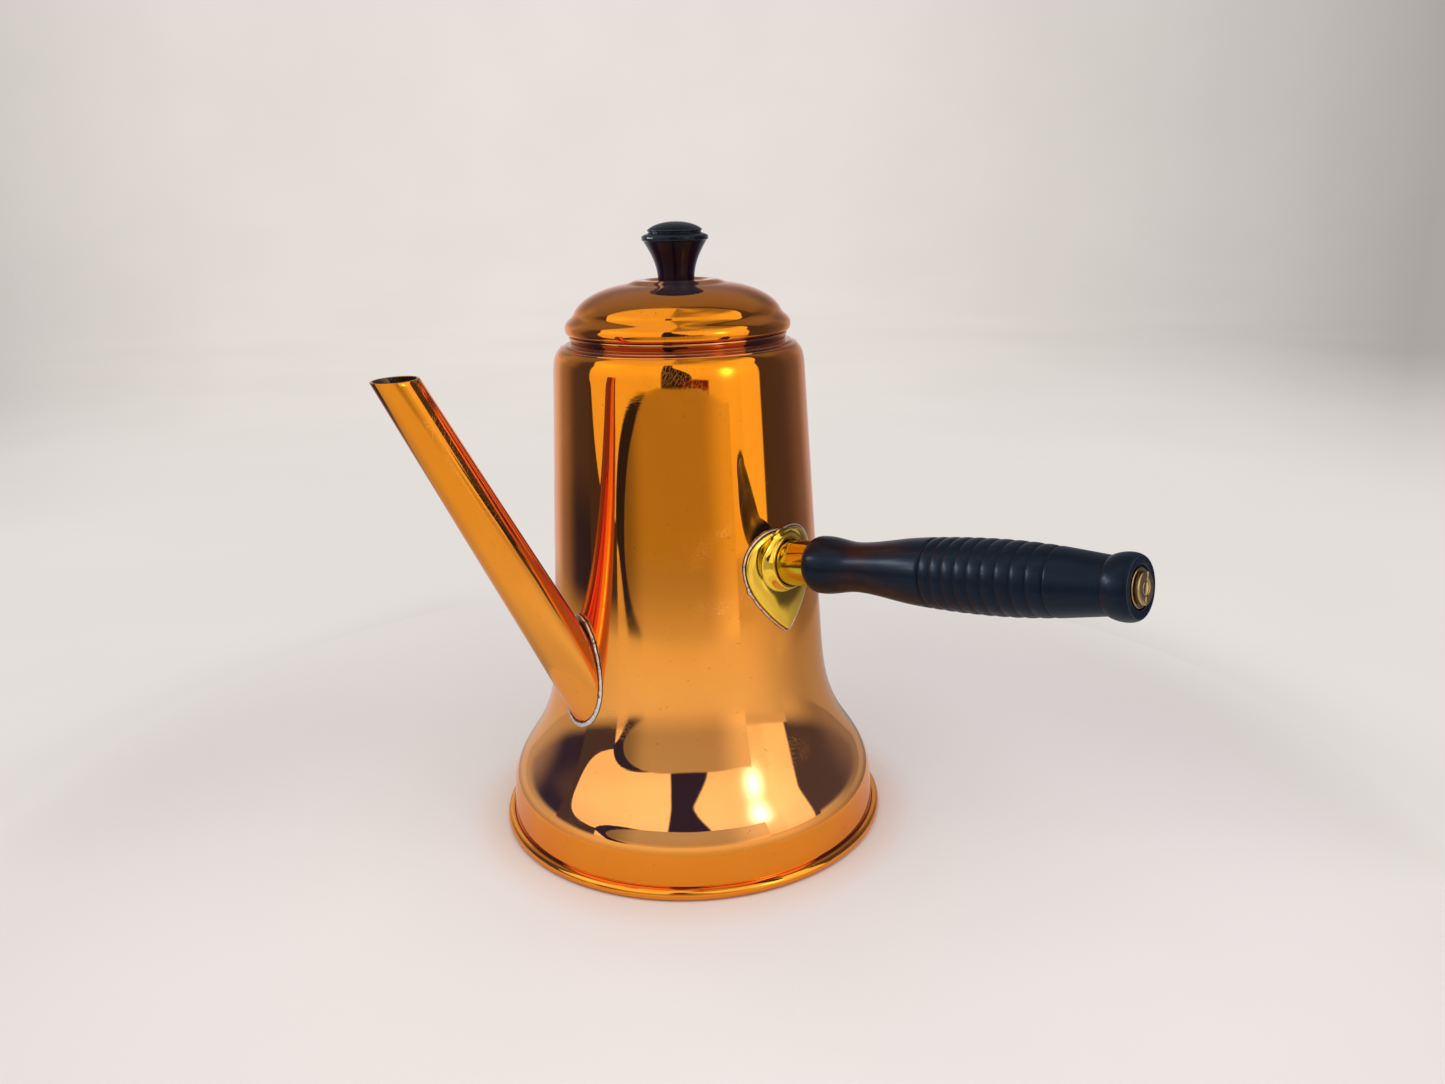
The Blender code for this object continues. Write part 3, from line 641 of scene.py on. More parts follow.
def build_lid(mats):
    outside = lid_profile()
    inside = offset(outside, LID_SHEET / MM)[::2]
    inside[-1] = (LID_LIP_INNER, LID_LIP + LID_SHEET / MM)
    shell = lathe("lid", outside + inside[::-1], POT_STEPS, wobble=0.05, seed=5.0)
    put(shell, "lid", "copper", mats["lid"], "lid_shell")

    outer, inner, top = COLLAR_OUTER, COLLAR_INNER, COLLAR_TOP
    wall = line((outer, top - 1.0), (outer, 195.6), 12)
    edge = curve(wall[-1], (outer, 194.9), (41.4, 194.3), (41.0, 194.0), 6)
    lip = [(40.7, 193.9), (40.45, 194.1)]
    back = curve(lip[-1], (40.75, 194.6), (inner, 195.0), (inner, 196.0), 6)
    section = [(outer, top)] + join(wall, edge) + join(lip, back) + [(inner, top)]
    collar = lathe("lid_skirt", section, POT_STEPS)
    put(collar, "lid", "copper", mats["lid"], "lid_collar")

    hole = [(0.0, 237.8), (3.5, 237.8), (3.5, KNOB_FOOT), (6.8, KNOB_FOOT)]
    knob = lathe("knob", hole + knob_profile()[1:], SMALL_STEPS, closed=False, sharp=60.0)
    put(knob, "lid", "knob", mats["knob"], "lid_knob")

    under = LID_SEAT - 0.9 - 0.3
    low = under - 0.8
    section = [(2.0, under), (5.8, under), (6.0, under - 0.15), (6.0, low + 0.15), (5.8, low), (2.0, low)]
    washer = lathe("lid_washer", section, 96)
    put(washer, "lid", "steel", mats["steel"], "knob_washer")

    head = low - 0.3
    section = [(0.0, 236.3), (1.7, 236.3), (1.7, head), (3.4, head), (3.4, head - 1.3)]
    section += curve((3.4, head - 1.3), (3.2, head - 1.9), (2.0, head - 2.2), (0.0, head - 2.2), 10)[1:]
    screw = lathe("lid_screw", section, 64, closed=False)
    cut(screw, [slot_cutter((1.1, 20.0, 0.8), 0.0, head - 2.2)])
    put(screw, "lid", "steel", mats["steel"], "knob_screw")


# ---- camera
VIEW_TURN = Matrix.Rotation(math.radians(139.45), 3, "Z")
VIEW_PITCH = math.radians(16.5208)
VIEW_ROLL = math.radians(-1.44798)
VIEW_YAW = math.radians(1.92629)
VIEW_PLACE = VIEW_TURN @ Vector((0.0, -0.46513, 0.25713))


def build_camera():
    """Three quarter view from slightly above, at the distance and lens of the reference view."""
    level, drop = math.cos(VIEW_PITCH), math.sin(VIEW_PITCH)
    sin_yaw, cos_yaw = math.sin(VIEW_YAW), math.cos(VIEW_YAW)
    forward = VIEW_TURN @ Vector((sin_yaw * level, cos_yaw * level, -drop))
    right = VIEW_TURN @ Vector((cos_yaw, -sin_yaw, 0.0))
    up = right.cross(forward)
    sin_roll, cos_roll = math.sin(VIEW_ROLL), math.cos(VIEW_ROLL)
    right, up = cos_roll * right + sin_roll * up, -sin_roll * right + cos_roll * up
    camera = bpy.data.cameras.new("camera")
    camera.sensor_fit = "HORIZONTAL"
    camera.sensor_width = 36.0
    camera.lens = 28.65
    obj = bpy.data.objects.new("camera", camera)
    bpy.context.collection.objects.link(obj)
    matrix = Matrix((right, up, -forward)).transposed().to_4x4()
    matrix.translation = VIEW_PLACE
    obj.matrix_world = matrix
    bpy.context.scene.camera = obj


# ---- materials
class Shader:
    """A Principled material that is put together node by node."""

    def __init__(self, name, **constants):
        self.material = bpy.data.materials.new(name)
        self.material.use_nodes = True
        self.tree = self.material.node_tree
        self.principled = self.tree.nodes["Principled BSDF"]
        for socket, value in constants.items():
            self.principled.inputs[socket.replace("_", " ")].default_value = value
        self.place = self.add("ShaderNodeTexCoord").outputs["Object"]

    def add(self, kind, inputs=None, **settings):
        node = self.tree.nodes.new(kind)
        for key, value in settings.items():
            setattr(node, key, value)
        for key, value in (inputs or {}).items():
            self.set(node.inputs[key], value)
        return node

    def set(self, socket, value):
        if isinstance(value, bpy.types.NodeSocket):
            self.tree.links.new(value, socket)
        else:
            socket.default_value = value

    def math(self, operation, a, b=0.0, c=0.0, clamp=False):
        node = self.add("ShaderNodeMath", {0: a, 1: b, 2: c}, operation=operation, use_clamp=clamp)
        return node.outputs[0]

    def plus(self, total, *layers):
        for value, amount in layers:
            total = self.math("MULTIPLY_ADD", value, amount, total)
        return total

    def vector(self, operation, *inputs, output=0):
        node = self.add("ShaderNodeVectorMath", dict(enumerate(inputs)), operation=operation)
        return node.outputs[output]

    def stretch(self, x, y, z):
        return self.vector("MULTIPLY", self.place, (x, y, z))

    def noise(self, scale, detail=2.0, vector=None, distortion=0.0, rough=0.5):
        inputs = {"Vector": vector or self.place, "Scale": scale, "Detail": detail}
        inputs.update({"Distortion": distortion, "Roughness": rough})
        return self.add("ShaderNodeTexNoise", inputs).outputs["Fac"]

    def remap(self, value, low, high, to_low=0.0, to_high=1.0):
        inputs = {"Value": value, "From Min": low, "From Max": high, "To Min": to_low, "To Max": to_high}
        return self.add("ShaderNodeMapRange", inputs, interpolation_type="SMOOTHSTEP").outputs["Result"]

    def ramp(self, value, *stops):
        node = self.add("ShaderNodeValToRGB", {"Fac": value})
        elements = node.color_ramp.elements
        while len(elements) < len(stops):
            elements.new(0.5)
        for element, (position, colour) in zip(elements, stops):
            element.position = position
            element.color = (*colour, 1.0)
        return node.outputs["Color"]

    def mix(self, factor, a, b, blend="MIX"):
        node = self.add("ShaderNodeMix", data_type="RGBA", blend_type=blend)
        self.set(node.inputs[0], factor)
        for index, value in ((6, a), (7, b)):
            if isinstance(value, tuple) and len(value) == 3:
                value = (*value, 1.0)
            self.set(node.inputs[index], value)
        return node.outputs[2]

    def curvature(self):
        return self.add("ShaderNodeAttribute", attribute_name="curvature").outputs["Fac"]

    def height(self):
        return self.add("ShaderNodeSeparateXYZ", {0: self.place}).outputs["Z"]

    def radius(self):
        return self.vector("LENGTH", self.stretch(1.0, 1.0, 0.0), output="Value")

    def rings(self, scale):
        """Fine lines round the axis, as turning or spinning leaves them."""
        place = self.add("ShaderNodeCombineXYZ", {"X": self.radius(), "Y": 0.0, "Z": self.height()})
        return self.noise(scale, 3.0, place.outputs[0])

    def scratches(self, scale, width):
        """Sparse hairlines, 0 to 1."""
        swirl = self.add("ShaderNodeTexNoise", {"Vector": self.place, "Scale": 9.0}).outputs["Color"]
        inputs = {"Vector": self.vector("ADD", self.stretch(1.0, 1.0, 0.35), swirl), "Scale": scale}
        cells = self.add("ShaderNodeTexVoronoi", inputs, feature="DISTANCE_TO_EDGE")
        thin = self.remap(cells.outputs["Distance"], width, 0.0)
        patches = self.remap(self.noise(35.0, 2.0), 0.56, 0.68)
        return self.math("MULTIPLY", thin, patches)

    def bumps(self, *layers):
        """Chain bump layers of (height, depth in metres, strength)."""
        normal = None
        for height, depth, strength in layers:
            inputs = {"Height": height, "Distance": depth, "Strength": strength}
            if normal is not None:
                inputs["Normal"] = normal
            normal = self.add("ShaderNodeBump", inputs).outputs["Normal"]
        self.set(self.principled.inputs["Normal"], normal)

    def finish(self, colour, roughness):
        self.set(self.principled.inputs["Base Color"], colour)
        self.set(self.principled.inputs["Roughness"], roughness)
        return self.material


def polished_copper(name, tones, gloss, haze=None, inner=False):
    """Polished and lacquered copper; tones are (height in metres, colour), haze (from, to) in metres."""
    s = Shader(
        name, Metallic=1.0, Specular_Tint=(1.0, 0.84, 0.70, 1.0),
        Coat_Weight=0.12, Coat_Roughness=0.02, Coat_IOR=1.45,
        Sheen_Weight=0.035, Sheen_Roughness=0.6, Sheen_Tint=(0.80, 0.70, 1.0, 1.0),
    )
    low, high = tones[0][0], tones[-1][0]
    level = s.remap(s.height(), low, high)
    level.node.interpolation_type = "LINEAR"
    base = s.ramp(level, *[((z - low) / (high - low), c) for z, c in tones])
    clouds = s.noise(26.0, 3.0, distortion=0.6)
    fine = s.noise(190.0, 3.0)
    if inner:
        inside = s.add("ShaderNodeAttribute", attribute_name="inner").outputs["Fac"]
        tarnish = s.ramp(clouds, (0.35, (0.055, 0.030, 0.016)), (0.7, (0.16, 0.10, 0.065)))
        base = s.mix(inside, base, tarnish)
    cloudy = s.mix(1.0, base, (0.90, 0.78, 0.62), "MULTIPLY")
    base = s.mix(s.remap(clouds, 0.35, 0.7, 0.0, 0.30), base, cloudy)
    edge = s.curvature()
    base = s.mix(s.remap(edge, -0.08, -0.5, 0.0, 0.75), base, (0.36, 0.085, 0.012))
    base = s.mix(s.remap(edge, 0.25, 0.8, 0.0, 0.4), base, (0.99, 0.56, 0.22))
    lines = s.rings(2600.0)
    marks = s.scratches(120.0, 0.012)
    base = s.mix(s.math("MULTIPLY", marks, 0.35), base, (0.98, 0.62, 0.30))
    specks = s.remap(s.noise(600.0, 2.0), 0.70, 0.76)
    base = s.mix(s.math("MULTIPLY", specks, 0.35), base, (0.30, 0.09, 0.02))
    rough = s.plus(gloss, (s.remap(clouds, 0.35, 0.72), 0.018), (lines, 0.014), (marks, 0.12))
    rough = s.plus(rough, (s.remap(edge, -0.05, -0.5), 0.16))
    if haze:
        above = s.remap(s.height(), haze[0] - 0.012, haze[0] + 0.01)
        below = s.remap(s.height(), haze[1] + 0.03, haze[1] - 0.03)
        rough = s.plus(rough, (s.math("MULTIPLY", above, below), 0.10))
    if inner:
        rough = s.plus(rough, (inside, 0.38))
    waves = s.noise(42.0, 1.0)
    surface = [(lines, 0.000012, 0.25), (fine, 0.00001, 0.35), (marks, 0.00002, 0.6)]
    s.bumps((waves, 0.00008, 0.30), *surface)
    return s.finish(base, rough)


def polished_brass(name, colour, gloss, dull_and_shade):
    s = Shader(name, Metallic=1.0, Coat_Weight=0.15, Coat_Roughness=0.05)
    clouds = s.noise(60.0, 3.0, distortion=0.5)
    spots = s.noise(420.0, 3.0)
    base = s.mix(s.remap(clouds, 0.35, 0.7, 0.0, 0.6), (*colour, 1.0), dull_and_shade)
    edge = s.curvature()
    base = s.mix(s.remap(edge, -0.08, -0.5, 0.0, 0.6), base, (0.16, 0.095, 0.02))
    lines = s.rings(3200.0)
    marks = s.scratches(190.0, 0.02)
    rough = s.plus(gloss, (s.remap(clouds, 0.4, 0.75), 0.06), (lines, 0.04), (marks, 0.12))
    surface = [(lines, 0.000014, 0.35), (spots, 0.00001, 0.3), (marks, 0.00001, 0.5)]
    s.bumps((s.noise(90.0, 1.0), 0.00012, 0.25), *surface)
    return s.finish(base, rough)


def solder_metal():
    s = Shader("tin_solder", Metallic=1.0)
    grains = s.noise(900.0, 4.0, rough=0.65)
    flux = s.remap(s.noise(520.0, 3.0, distortion=1.2), 0.60, 0.68)
    base = s.ramp(grains, (0.25, (0.42, 0.40, 0.39)), (0.75, (0.86, 0.84, 0.80)))
    base = s.mix(s.math("MULTIPLY", flux, 0.8), base, (0.10, 0.055, 0.04))
    rough = s.plus(0.16, (grains, 0.28), (flux, 0.3))
    s.bumps((s.noise(330.0, 2.0), 0.0003, 0.4), (grains, 0.00008, 0.5))
    return s.finish(base, rough)


def plain_steel():
    s = Shader("plain_steel", Metallic=1.0)
    lines = s.rings(4200.0)
    stain = s.noise(240.0, 3.0)
    base = s.ramp(stain, (0.3, (0.30, 0.27, 0.25)), (0.7, (0.60, 0.59, 0.58)))
    rough = s.plus(0.22, (lines, 0.2))
    s.bumps((lines, 0.00002, 0.5), (stain, 0.00002, 0.3))
    return s.finish(base, rough)


def stained_wood():
    """Turned hardwood stained near black and rubbed, with red-brown showing at the waist and a painted
    highlight along the ribs' edges.
    """
    s = Shader(
        "stained_wood", Specular_IOR_Level=0.16, Specular_Tint=(0.38, 0.64, 1.0, 1.0),
        Coat_Weight=0.06, Coat_Roughness=0.16,
    )
    grain = s.noise(420.0, 4.0, s.stretch(1.0, 1.0, 0.045), 0.3, 0.6)
    pores = s.remap(s.noise(1500.0, 2.0, s.stretch(1.0, 1.0, 0.08)), 0.60, 0.72)
    lines = s.rings(2400.0)
    waist = s.math("MULTIPLY", s.remap(s.height(), 0.078, 0.090), s.remap(s.height(), 0.122, 0.102))
    worn = s.remap(s.noise(70.0, 3.0, s.stretch(1.0, 1.0, 0.5)), 0.40, 0.62)
    bare = s.math("MULTIPLY", worn, waist)
    stain = [(0.30, (0.0015, 0.0024, 0.0060)), (0.62, (0.0030, 0.0050, 0.0105))]
    base = s.ramp(grain, *stain, (0.80, (0.009, 0.011, 0.016)))
    red = s.ramp(grain, (0.30, (0.010, 0.0030, 0.0035)), (0.72, (0.036, 0.010, 0.007)))
    base = s.mix(s.math("MULTIPLY", bare, 0.75), base, red)
    edge = s.curvature()
    # Painted highlight along the ribs' convex edges, partly rubbed wear; darker in the grooves.
    base = s.mix(s.remap(edge, 0.42, 0.95, 0.0, 0.30), base, (0.085, 0.085, 0.090))
    base = s.mix(s.remap(edge, -0.15, -0.7, 0.0, 0.8), base, (0.002, 0.002, 0.003))
    rough = s.plus(0.24, (grain, 0.14), (pores, 0.15), (s.noise(55.0, 2.0), 0.12))
    s.bumps((grain, 0.00006, 0.35), (pores, 0.00004, 0.4), (lines, 0.00003, 0.4))
    return s.finish(base, rough)


def knob_resin():
    """Turned and polished dark knob, red-brown on its stem, with a painted highlight along its edges."""
    s = Shader(
        "knob_resin", Specular_IOR_Level=0.14, Specular_Tint=(0.55, 0.72, 1.0, 1.0),
        Coat_Weight=0.04, Coat_Roughness=0.04,
    )
    streaks = s.noise(150.0, 3.0, s.stretch(1.0, 1.0, 0.15), 0.4)
    stem = s.remap(s.height(), 0.2435, 0.238)
    dark = s.ramp(streaks, (0.3, (0.0028, 0.0036, 0.0065)), (0.7, (0.007, 0.0075, 0.012)))
    red = s.ramp(streaks, (0.3, (0.002, 0.0010, 0.0050)), (0.7, (0.010, 0.0020, 0.0055)))
    base = s.mix(s.math("MULTIPLY", stem, 0.9), dark, red)
    edge = s.curvature()
    # Painted highlight along the knob's convex edges, partly rubbed wear.
    base = s.mix(s.remap(edge, 0.35, 0.9, 0.0, 0.35), base, (0.06, 0.055, 0.06))
    lines = s.rings(2800.0)
    rough = s.plus(0.08, (lines, 0.08), (s.scratches(260.0, 0.02), 0.2))
    s.bumps((lines, 0.000012, 0.4), (s.noise(300.0, 2.0), 0.00002, 0.2))
    return s.finish(base, rough)


def make_materials():
    rich = (0.80, 0.250, 0.002)
    pale = (0.94, 0.42, 0.125)
    warm = (0.88, 0.35, 0.060)
    foot = (0.84, 0.27, 0.012)
    # Painted shade tone for the neck under the lid.
    dull_and_shade = (0.38, 0.11, 0.010)
    body = [(0.0, foot), (0.017, (0.86, 0.28, 0.015)), (0.024, pale), (0.075, warm), (0.135, rich)]
    # Painted shade: darker from the top of the shoulder up the neck, under the lid's bead.
    body += [(0.2018, rich), (0.2030, (0.60, 0.19, 0.006)), (0.2042, dull_and_shade), (0.2080, dull_and_shade)]
    rim = [(0.0, (0.86, 0.28, 0.012)), (0.006, (0.92, 0.34, 0.03))]
    spout = [(-0.17, (0.88, 0.36, 0.06)), (-0.05, (0.76, 0.25, 0.008)), (0.02, (0.76, 0.25, 0.006))]
    lid = [(0.19, (0.80, 0.22, 0.006)), (0.207, (0.80, 0.24, 0.006)), (0.216, rich), (0.23, rich)]
    return {
        "copper": polished_copper("copper_body", body, 0.012, haze=(0.062, 0.105)),
        "rim": polished_copper("copper_rim", rim, 0.08),
        "spout": polished_copper("copper_spout", spout, 0.06, inner=True),
        "lid": polished_copper("copper_lid", lid, 0.015),
        "solder": solder_metal(),
        "brass": polished_brass("brass_plate", (0.90, 0.54, 0.045), 0.07, (0.74, 0.46, 0.05)),
        "tube": polished_brass("brass_tube", (0.58, 0.42, 0.02), 0.07, (0.46, 0.31, 0.03)),
        "worn_brass": polished_brass("brass_worn", (0.40, 0.27, 0.10), 0.26, (0.22, 0.15, 0.06)),
        "steel": plain_steel(),
        "wood": stained_wood(),
        "knob": knob_resin(),
    }


# ---- studio
VIEW_AZIMUTH = 49.45                        # the camera's side of the pot, in degrees from +X
TENT_RADIUS = 0.68
TENT_CENTRE = 0.10


def smooth(low, high, x):
    f = min(max((x - low) / (high - low), 0.0), 1.0)
    return f * f * (3.0 - 2.0 * f)


def bump(centre, width, x):
    return math.exp(-((x - centre) / width) ** 2)


TENT_WHITE = np.array((1.0, 0.985, 0.96))
TENT_DARK = np.array((0.030, 0.030, 0.14))
TENT_BROWN = np.array((0.085, 0.080, 0.16))
TENT_RED = np.array((0.22, 0.035, 0.03))
TENT_HOT = np.array((4.2, 4.5, 9.0))


def blend(a, b, f):
    return a + (b - a) * f


def side_light(azimuth, height):
    """Light from beside and behind, dim next to the tent's edges and paler towards the back."""
    side = abs(azimuth)
    if azimuth > 0.0:
        dark = TENT_BROWN
        shade = 0.12 * smooth(92.0, 122.0, side) + 0.34 * smooth(118.0, 142.0, side)
        shade += 0.32 * smooth(146.0, 174.0, side)
    else:
        dark = blend(TENT_DARK, TENT_BROWN, smooth(0.08, 0.13, height))
        shade = 0.28 * smooth(96.0, 119.0, side) + 0.46 * smooth(117.0, 136.0, side)
        shade += 0.04 * smooth(146.0, 174.0, side)
    return dark + TENT_WHITE * shade


def tent_light(azimuth, elevation):
    """Light that the diffusing tent gives, by direction in degrees; azimuth 0 is the camera's side."""
    lean = 22.0 * smooth(28.0, 60.0, elevation)
    front = smooth(-84.5 - lean, -83.0 - lean, azimuth) * (1.0 - smooth(71.5 + lean, 73.0 + lean, azimuth))
    panel = 1.13 + 0.14 * smooth(52.0, 54.0, azimuth)
    panel -= 0.10 * bump(32.0, 12.0, azimuth)
    panel += 0.35 * bump(42.0, 14.0, azimuth) * bump(18.0, 18.0, elevation)
    hot = bump(41.0, 8.0, azimuth) * bump(21.0, 10.0, elevation)
    panel += 0.35 * bump(-70.0, 14.0, azimuth) * bump(38.0, 10.0, elevation)
    high = smooth(54.0, 62.0, elevation)
    lens = bump(42.0, 24.0, azimuth) * (1.0 - 0.8 * bump(72.0, 4.0, elevation))
    panel = blend(panel, 1.10 - 0.72 * smooth(-14.0, -4.0, azimuth) + 0.50 * lens, high)
    panel += 0.18 * smooth(8.0, 24.0, elevation) * (1.0 - smooth(40.0, 56.0, elevation))
    behind = smooth(110.0, 150.0, abs(azimuth))
    back = side_light(azimuth, 0.2) * (1.0 - 0.70 * smooth(8.0, 34.0, elevation) * behind)
    roof = TENT_WHITE * (0.17 + 0.16 * smooth(60.0, 150.0, abs(azimuth)))
    ahead = math.cos(math.radians(azimuth)) * math.cos(math.radians(elevation))
    top = smooth(34.0, 46.0, elevation) * (1.0 - smooth(-0.14, -0.06, ahead))
    light = blend(blend(back, TENT_WHITE * panel, front), roof, top)
    gap_edge = 9.0 - 17.0 * smooth(14.0, 46.0, elevation)
    gap = smooth(-16.5, -15.5, azimuth) * (1.0 - smooth(gap_edge, gap_edge + 1.5, azimuth))
    gap *= smooth(3.0, 5.0, elevation) * (1.0 - smooth(50.0, 56.0, elevation))
    light = blend(light, TENT_DARK, gap)
    red = smooth(0.0, 1.5, azimuth) * (1.0 - smooth(23.0, 25.0, azimuth))
    red *= smooth(4.0, 5.0, elevation) * (1.0 - smooth(13.0, 14.5, elevation + 0.12 * azimuth))
    return blend(light, TENT_RED, red * (1.0 - 0.5 * gap)) + TENT_HOT * hot * hot


def glow_material(name):
    material = bpy.data.materials.new(name)
    material.use_nodes = True
    nodes, links = material.node_tree.nodes, material.node_tree.links
    nodes.clear()
    light = nodes.new("ShaderNodeAttribute")
    light.attribute_name = "glow"
    emission = nodes.new("ShaderNodeEmission")
    output = nodes.new("ShaderNodeOutputMaterial")
    links.new(light.outputs["Color"], emission.inputs["Color"])
    links.new(emission.outputs["Emission"], output.inputs["Surface"])
    return material


def round_the_pot(azimuth, radius, height):
    a = math.radians(VIEW_AZIMUTH) + math.radians(azimuth)
    return radius * math.cos(a), radius * math.sin(a), height


def glow_sheet(name, azimuths, steps, spot, tone, material):
    """A sheet of light that the camera doesn't see; spot gives its radius and height at each step."""
    rows = [[round_the_pot(azimuth, *spot(azimuth, step)) for azimuth in azimuths] for step in steps]
    colours = [tone(azimuth, step) for step in steps for azimuth in azimuths]
    sheet = link(name, *grid(rows, False, False))
    layer = sheet.data.attributes.new("glow", "FLOAT_COLOR", "POINT")
    values = np.ones((len(colours), 4), np.float32)
    values[:, :3] = np.array(colours)
    layer.data.foreach_set("color", values.ravel())
    sheet.data.materials.append(material)
    sheet.visible_camera = False
    sheet.visible_shadow = False
    sheet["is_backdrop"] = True
    return sheet


def build_tent(material):
    def spot(azimuth, elevation):
        e = math.radians(elevation)
        return TENT_RADIUS * math.cos(e), TENT_CENTRE + TENT_RADIUS * math.sin(e)

    elevations = np.linspace(-8.3, 90.0, 130)
    glow_sheet("tent", np.linspace(-180.0, 180.0, 541), elevations, spot, tent_light, material)


def build_card(name, azimuths, radius, low, high, tone, material):
    """A curved card that stands round the pot; low and high give its edges by azimuth."""
    def height(azimuth, f):
        return low(azimuth) + (high(azimuth) - low(azimuth)) * f

    glow_sheet(
        name, np.linspace(*azimuths, 100), np.linspace(0.0, 1.0, 40),
        lambda azimuth, f: (radius, height(azimuth, f)),
        lambda azimuth, f: tone(azimuth, height(azimuth, f)), material,
    )


def build_cards(glow):
    """Cards that the pot mirrors: one in front with a dark rim, one low on the left, one on each side."""
    foot = 0.0006

    def oval(azimuth):
        return math.sqrt(max(0.0, 1.0 - (min(azimuth + 17.0, 0.0) / 32.5) ** 2))

    def front_low(azimuth):
        return max(foot, 0.069 - 0.079 * oval(azimuth))

    def front_high(azimuth):
        return 0.069 + 0.110 * oval(azimuth) - 0.016 * smooth(10.0, 40.0, azimuth)

    def front_tone(azimuth, height):
        tone = 0.54 - 0.28 * smooth(-30.0, -48.0, azimuth) + 0.45 * smooth(14.0, 38.0, azimuth)
        return TENT_WHITE * (tone + 0.22 * smooth(0.045, 0.0, height))

    def strip_low(azimuth):
        return max(foot, 0.066 - 0.066 * smooth(-57.0, -46.0, azimuth))

    def strip_high(azimuth):
        return 0.069 + 0.104 * math.sqrt(max(0.0, 1.0 - ((azimuth + 17.0) / 40.0) ** 4))

    def at_foot(azimuth):
        return foot

    def low_high(azimuth):
        return 0.080 + 0.15 * math.exp(-(azimuth + 83.0) / 6.0)

    def low_tone(azimuth, height):
        return blend(TENT_BROWN * 0.8, TENT_WHITE * 0.6, smooth(0.03, 0.0, height))

    def side_tone(azimuth, height):
        table = 0.80 - (0.26 if azimuth < 0.0 else 0.50) * smooth(66.0, 106.0, abs(azimuth))
        return blend(TENT_WHITE * table, side_light(azimuth, height), smooth(0.012, 0.045, height))

    build_card("front_card", (-49.4, 40.0), 0.41, front_low, front_high, front_tone, glow)
    build_card("strip_card", (-57.0, -26.0), 0.415, strip_low, strip_high, lambda *spot: TENT_DARK, glow)
    build_card("low_card", (-83.0, -56.0), 0.40, at_foot, low_high, low_tone, glow)
    build_card("left_card", (-150.0, -81.0), 0.31, at_foot, lambda azimuth: 0.24, side_tone, glow)
    build_card("right_card", (71.5, 150.0), 0.31, at_foot, lambda azimuth: 0.24, side_tone, glow)


def build_table_glow(glow):
    """What the pot mirrors of the table, brightest in front; nothing else is lit by it."""
    def spot(azimuth, radius):
        return radius, 0.0004

    def tone(azimuth, radius):
        side = abs(azimuth)
        fall = 0.30 if azimuth < 0.0 else 0.52
        level = 0.98 - fall * smooth(38.0, 98.0, side) + 0.30 * smooth(140.0, 176.0, side)
        return TENT_WHITE * (level - 0.22 * smooth(0.19, 0.12, radius))

    radii = np.linspace(0.120, 0.43, 40)
    sheet = glow_sheet("table_glow", np.linspace(-180.0, 180.0, 181), radii, spot, tone, glow)
    sheet.visible_diffuse = False


def build_stage():
    scene = bpy.context.scene
    scene.view_settings.view_transform = "Standard"
    world = bpy.data.worlds.new("studio")
    scene.world = world
    world.use_nodes = True
    world.node_tree.nodes["Background"].inputs["Color"].default_value = (0.6, 0.58, 0.56, 1.0)
    glow = glow_material("glow")
    glow.cycles.emission_sampling = "NONE"
    build_tent(glow)
    build_cards(glow)
    build_table_glow(glow)

    reach = 3.0
    corners = [(x * reach, y * reach, 0) for x, y in ((-1, -1), (1, -1), (1, 1), (-1, 1))]
    floor = link("floor", corners, [(0, 1, 2, 3)])
    floor.data.materials.append(floor_material())
    floor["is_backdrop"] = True
    build_room()
    lamp = area_light("overhead", (0.1, 0.1, 0.66), shape="DISK", size=1.0, energy=3.0)
    lamp.visible_glossy = False
    build_grip_light()


def area_light(name, place, **settings):
    light = bpy.data.lights.new(name, "AREA")
    for key, value in settings.items():
        setattr(light, key, value)
    lamp = bpy.data.objects.new(name, light)
    lamp.location = place
    bpy.context.collection.objects.link(lamp)
    return lamp


def build_grip_light():
    """A soft box on the left that only the dark wood and the knob are lit by."""
    box = {"shape": "RECTANGLE", "size": 0.30, "size_y": 0.16}
    place = round_the_pot(-96.0, 0.55, 0.33)
    lamp = area_light("soft_box", place, energy=3.0, color=(0.92, 0.96, 1.0), **box)
    aim = Vector(lamp.location) - Vector((0.0, 0.10, 0.13))
    lamp.rotation_euler = aim.to_track_quat("Z", "Y").to_euler()
    lit = bpy.data.collections.new("dark_pieces")
    for name in ("grip", "knob"):
        lit.objects.link(bpy.data.objects[name])
    lamp.light_linking.receiver_collection = lit


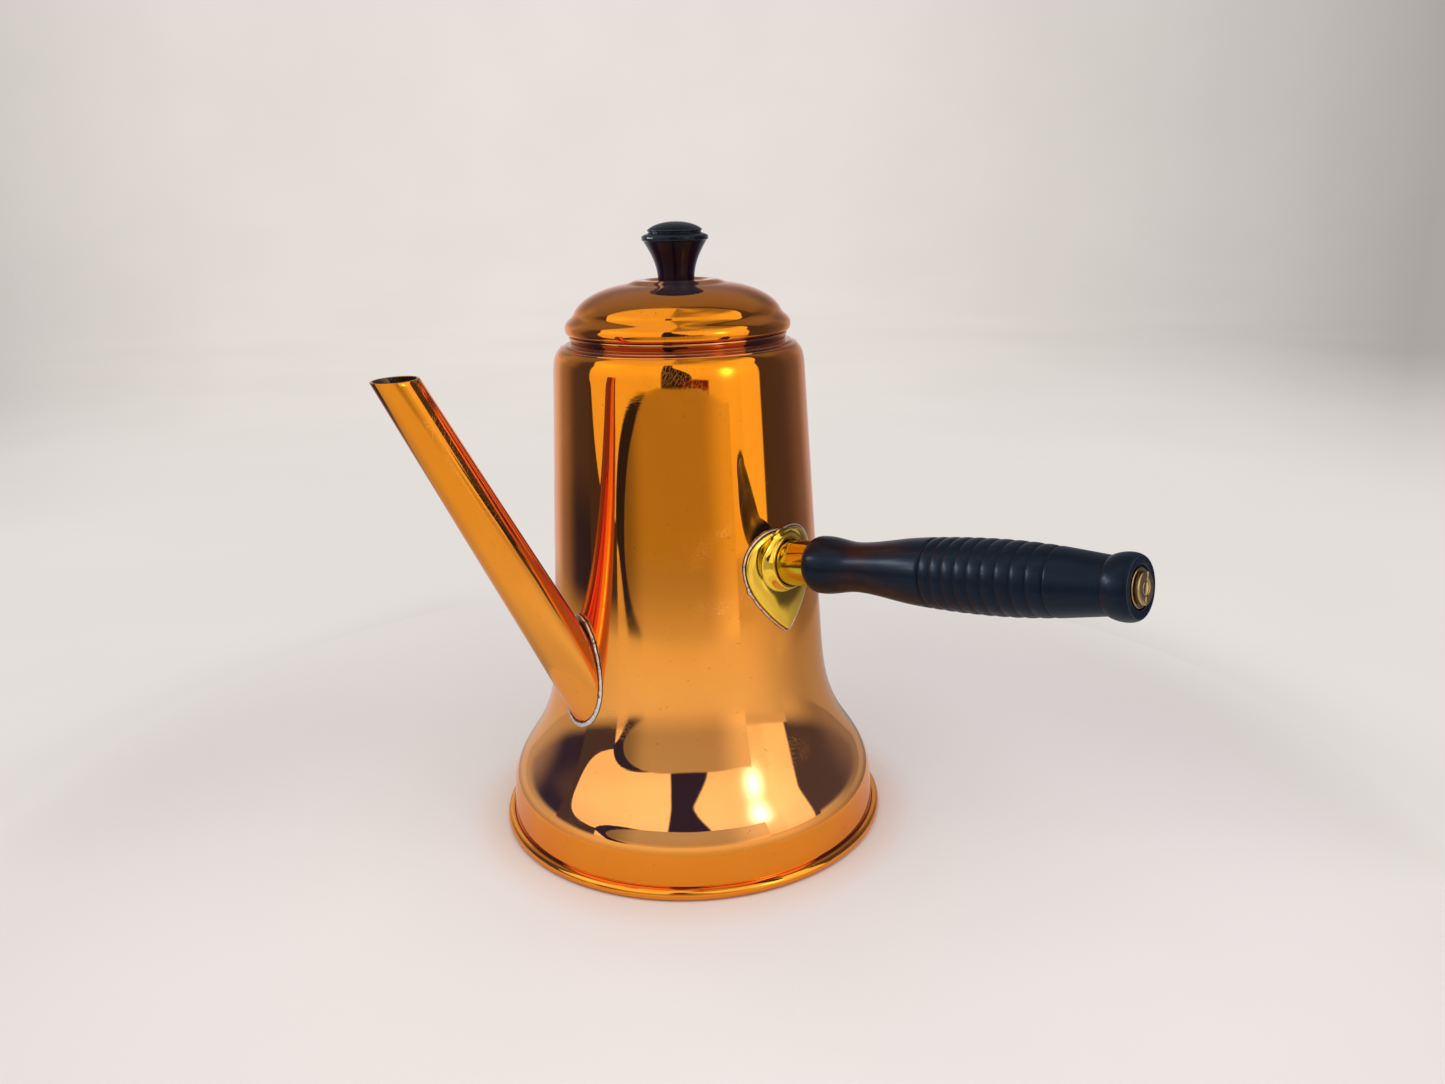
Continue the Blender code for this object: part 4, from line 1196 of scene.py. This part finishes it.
def backdrop_colour(shader):
    """Pale backdrop whose light falls off to either side of the reference view, most on the right."""
    start = VIEW_TURN @ Vector((0.0, -0.465, 0.0))
    from_start = shader.vector("SUBTRACT", shader.place, start)
    ahead, right = VIEW_TURN @ Vector((0.0, 1.0, 0.0)), VIEW_TURN @ Vector((1.0, 0.0, 0.0))
    along = shader.vector("DOT_PRODUCT", from_start, ahead, output="Value")
    across = shader.vector("DOT_PRODUCT", from_start, right, output="Value")
    angle = shader.math("ARCTAN2", across, along)
    span = 66.0
    place = shader.math("MULTIPLY_ADD", angle, 0.5 / math.radians(span), 0.5, clamp=True)
    tones = [(-span, 0.78), (-46.0, 0.62), (-34.0, 0.47), (-28.0, 0.64), (-21.0, 0.755), (-8.0, 0.80)]
    tones += [(6.0, 0.785), (14.0, 0.72), (21.0, 0.64), (27.0, 0.55), (33.0, 0.40)]
    tones += [(46.0, 0.58), (span, 0.78)]
    stops = [(0.5 + 0.5 * degrees / span, (tone, 0.935 * tone, 0.885 * tone)) for degrees, tone in tones]
    colour = shader.ramp(place, *stops)
    colour = shader.mix(shader.remap(shader.radius(), 0.5, 1.9), (0.78, 0.735, 0.70), colour)
    mottle = shader.remap(shader.noise(3.0, 3.0), 0.3, 0.7, 0.985, 1.015)
    grey = shader.add("ShaderNodeCombineColor", {0: mottle, 1: mottle, 2: mottle}).outputs[0]
    return shader.mix(1.0, colour, grey, "MULTIPLY")


def floor_material():
    s = Shader("floor", Specular_IOR_Level=0.15)
    tone = s.noise(5.0, 3.0)
    near = s.ramp(tone, (0.35, (0.690, 0.655, 0.622)), (0.65, (0.705, 0.672, 0.640)))
    distance = s.vector("LENGTH", s.place, output="Value")
    bounce = s.remap(distance, 0.102, 0.083)
    near = s.mix(s.math("MULTIPLY", bounce, 0.45), near, (0.66, 0.50, 0.40))
    s.finish(near, s.remap(tone, 0.3, 0.7, 0.62, 0.74))
    s.bumps((s.noise(900.0, 2.0), 0.00005, 0.15))
    fade = s.remap(distance, 0.19, 0.38)
    far = s.add("ShaderNodeEmission", {"Color": backdrop_colour(s)})
    mix = s.add("ShaderNodeMixShader", {"Fac": fade})
    s.set(mix.inputs[1], s.principled.outputs["BSDF"])
    s.set(mix.inputs[2], far.outputs["Emission"])
    s.set(s.tree.nodes["Material Output"].inputs["Surface"], mix.outputs["Shader"])
    return s.material


def build_room():
    """A plain pale wall all round, far enough off to be seen from any side."""
    rows = []
    for r, z in arc((2.2, 0.8), 0.8, -90.0, 0.0, 16) + [(3.0, 3.0)]:
        rows.append([(r * math.cos(a), r * math.sin(a), z + 0.0002) for a in full_turn(180)])
    room = link("room", *grid(rows, False))
    s = Shader("room")
    glow = s.add("ShaderNodeEmission", {"Color": backdrop_colour(s)})
    s.set(s.tree.nodes["Material Output"].inputs["Surface"], glow.outputs["Emission"])
    room.data.materials.append(s.material)
    room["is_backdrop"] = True


materials = make_materials()
build_pot(materials)
build_spout(materials)
build_plate(materials)
build_handle(materials)
build_lid(materials)
KEPT = {"base_rim_wire": "steel", "socket_plug": "worn_brass", "knob_insert": "worn_brass"}
KEPT.update({"base_seam_solder": "solder", "collar_solder": "solder"})
for node, material in KEPT.items():
    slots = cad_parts[node].data.materials
    slots.clear()
    slots.append(materials[material])
build_stage()
build_camera()


def corners(box):
    return [[round(float(c), 6) for c in corner] for corner in box]


{"cad": corners(CAD_BOX), "visual": corners(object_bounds())}
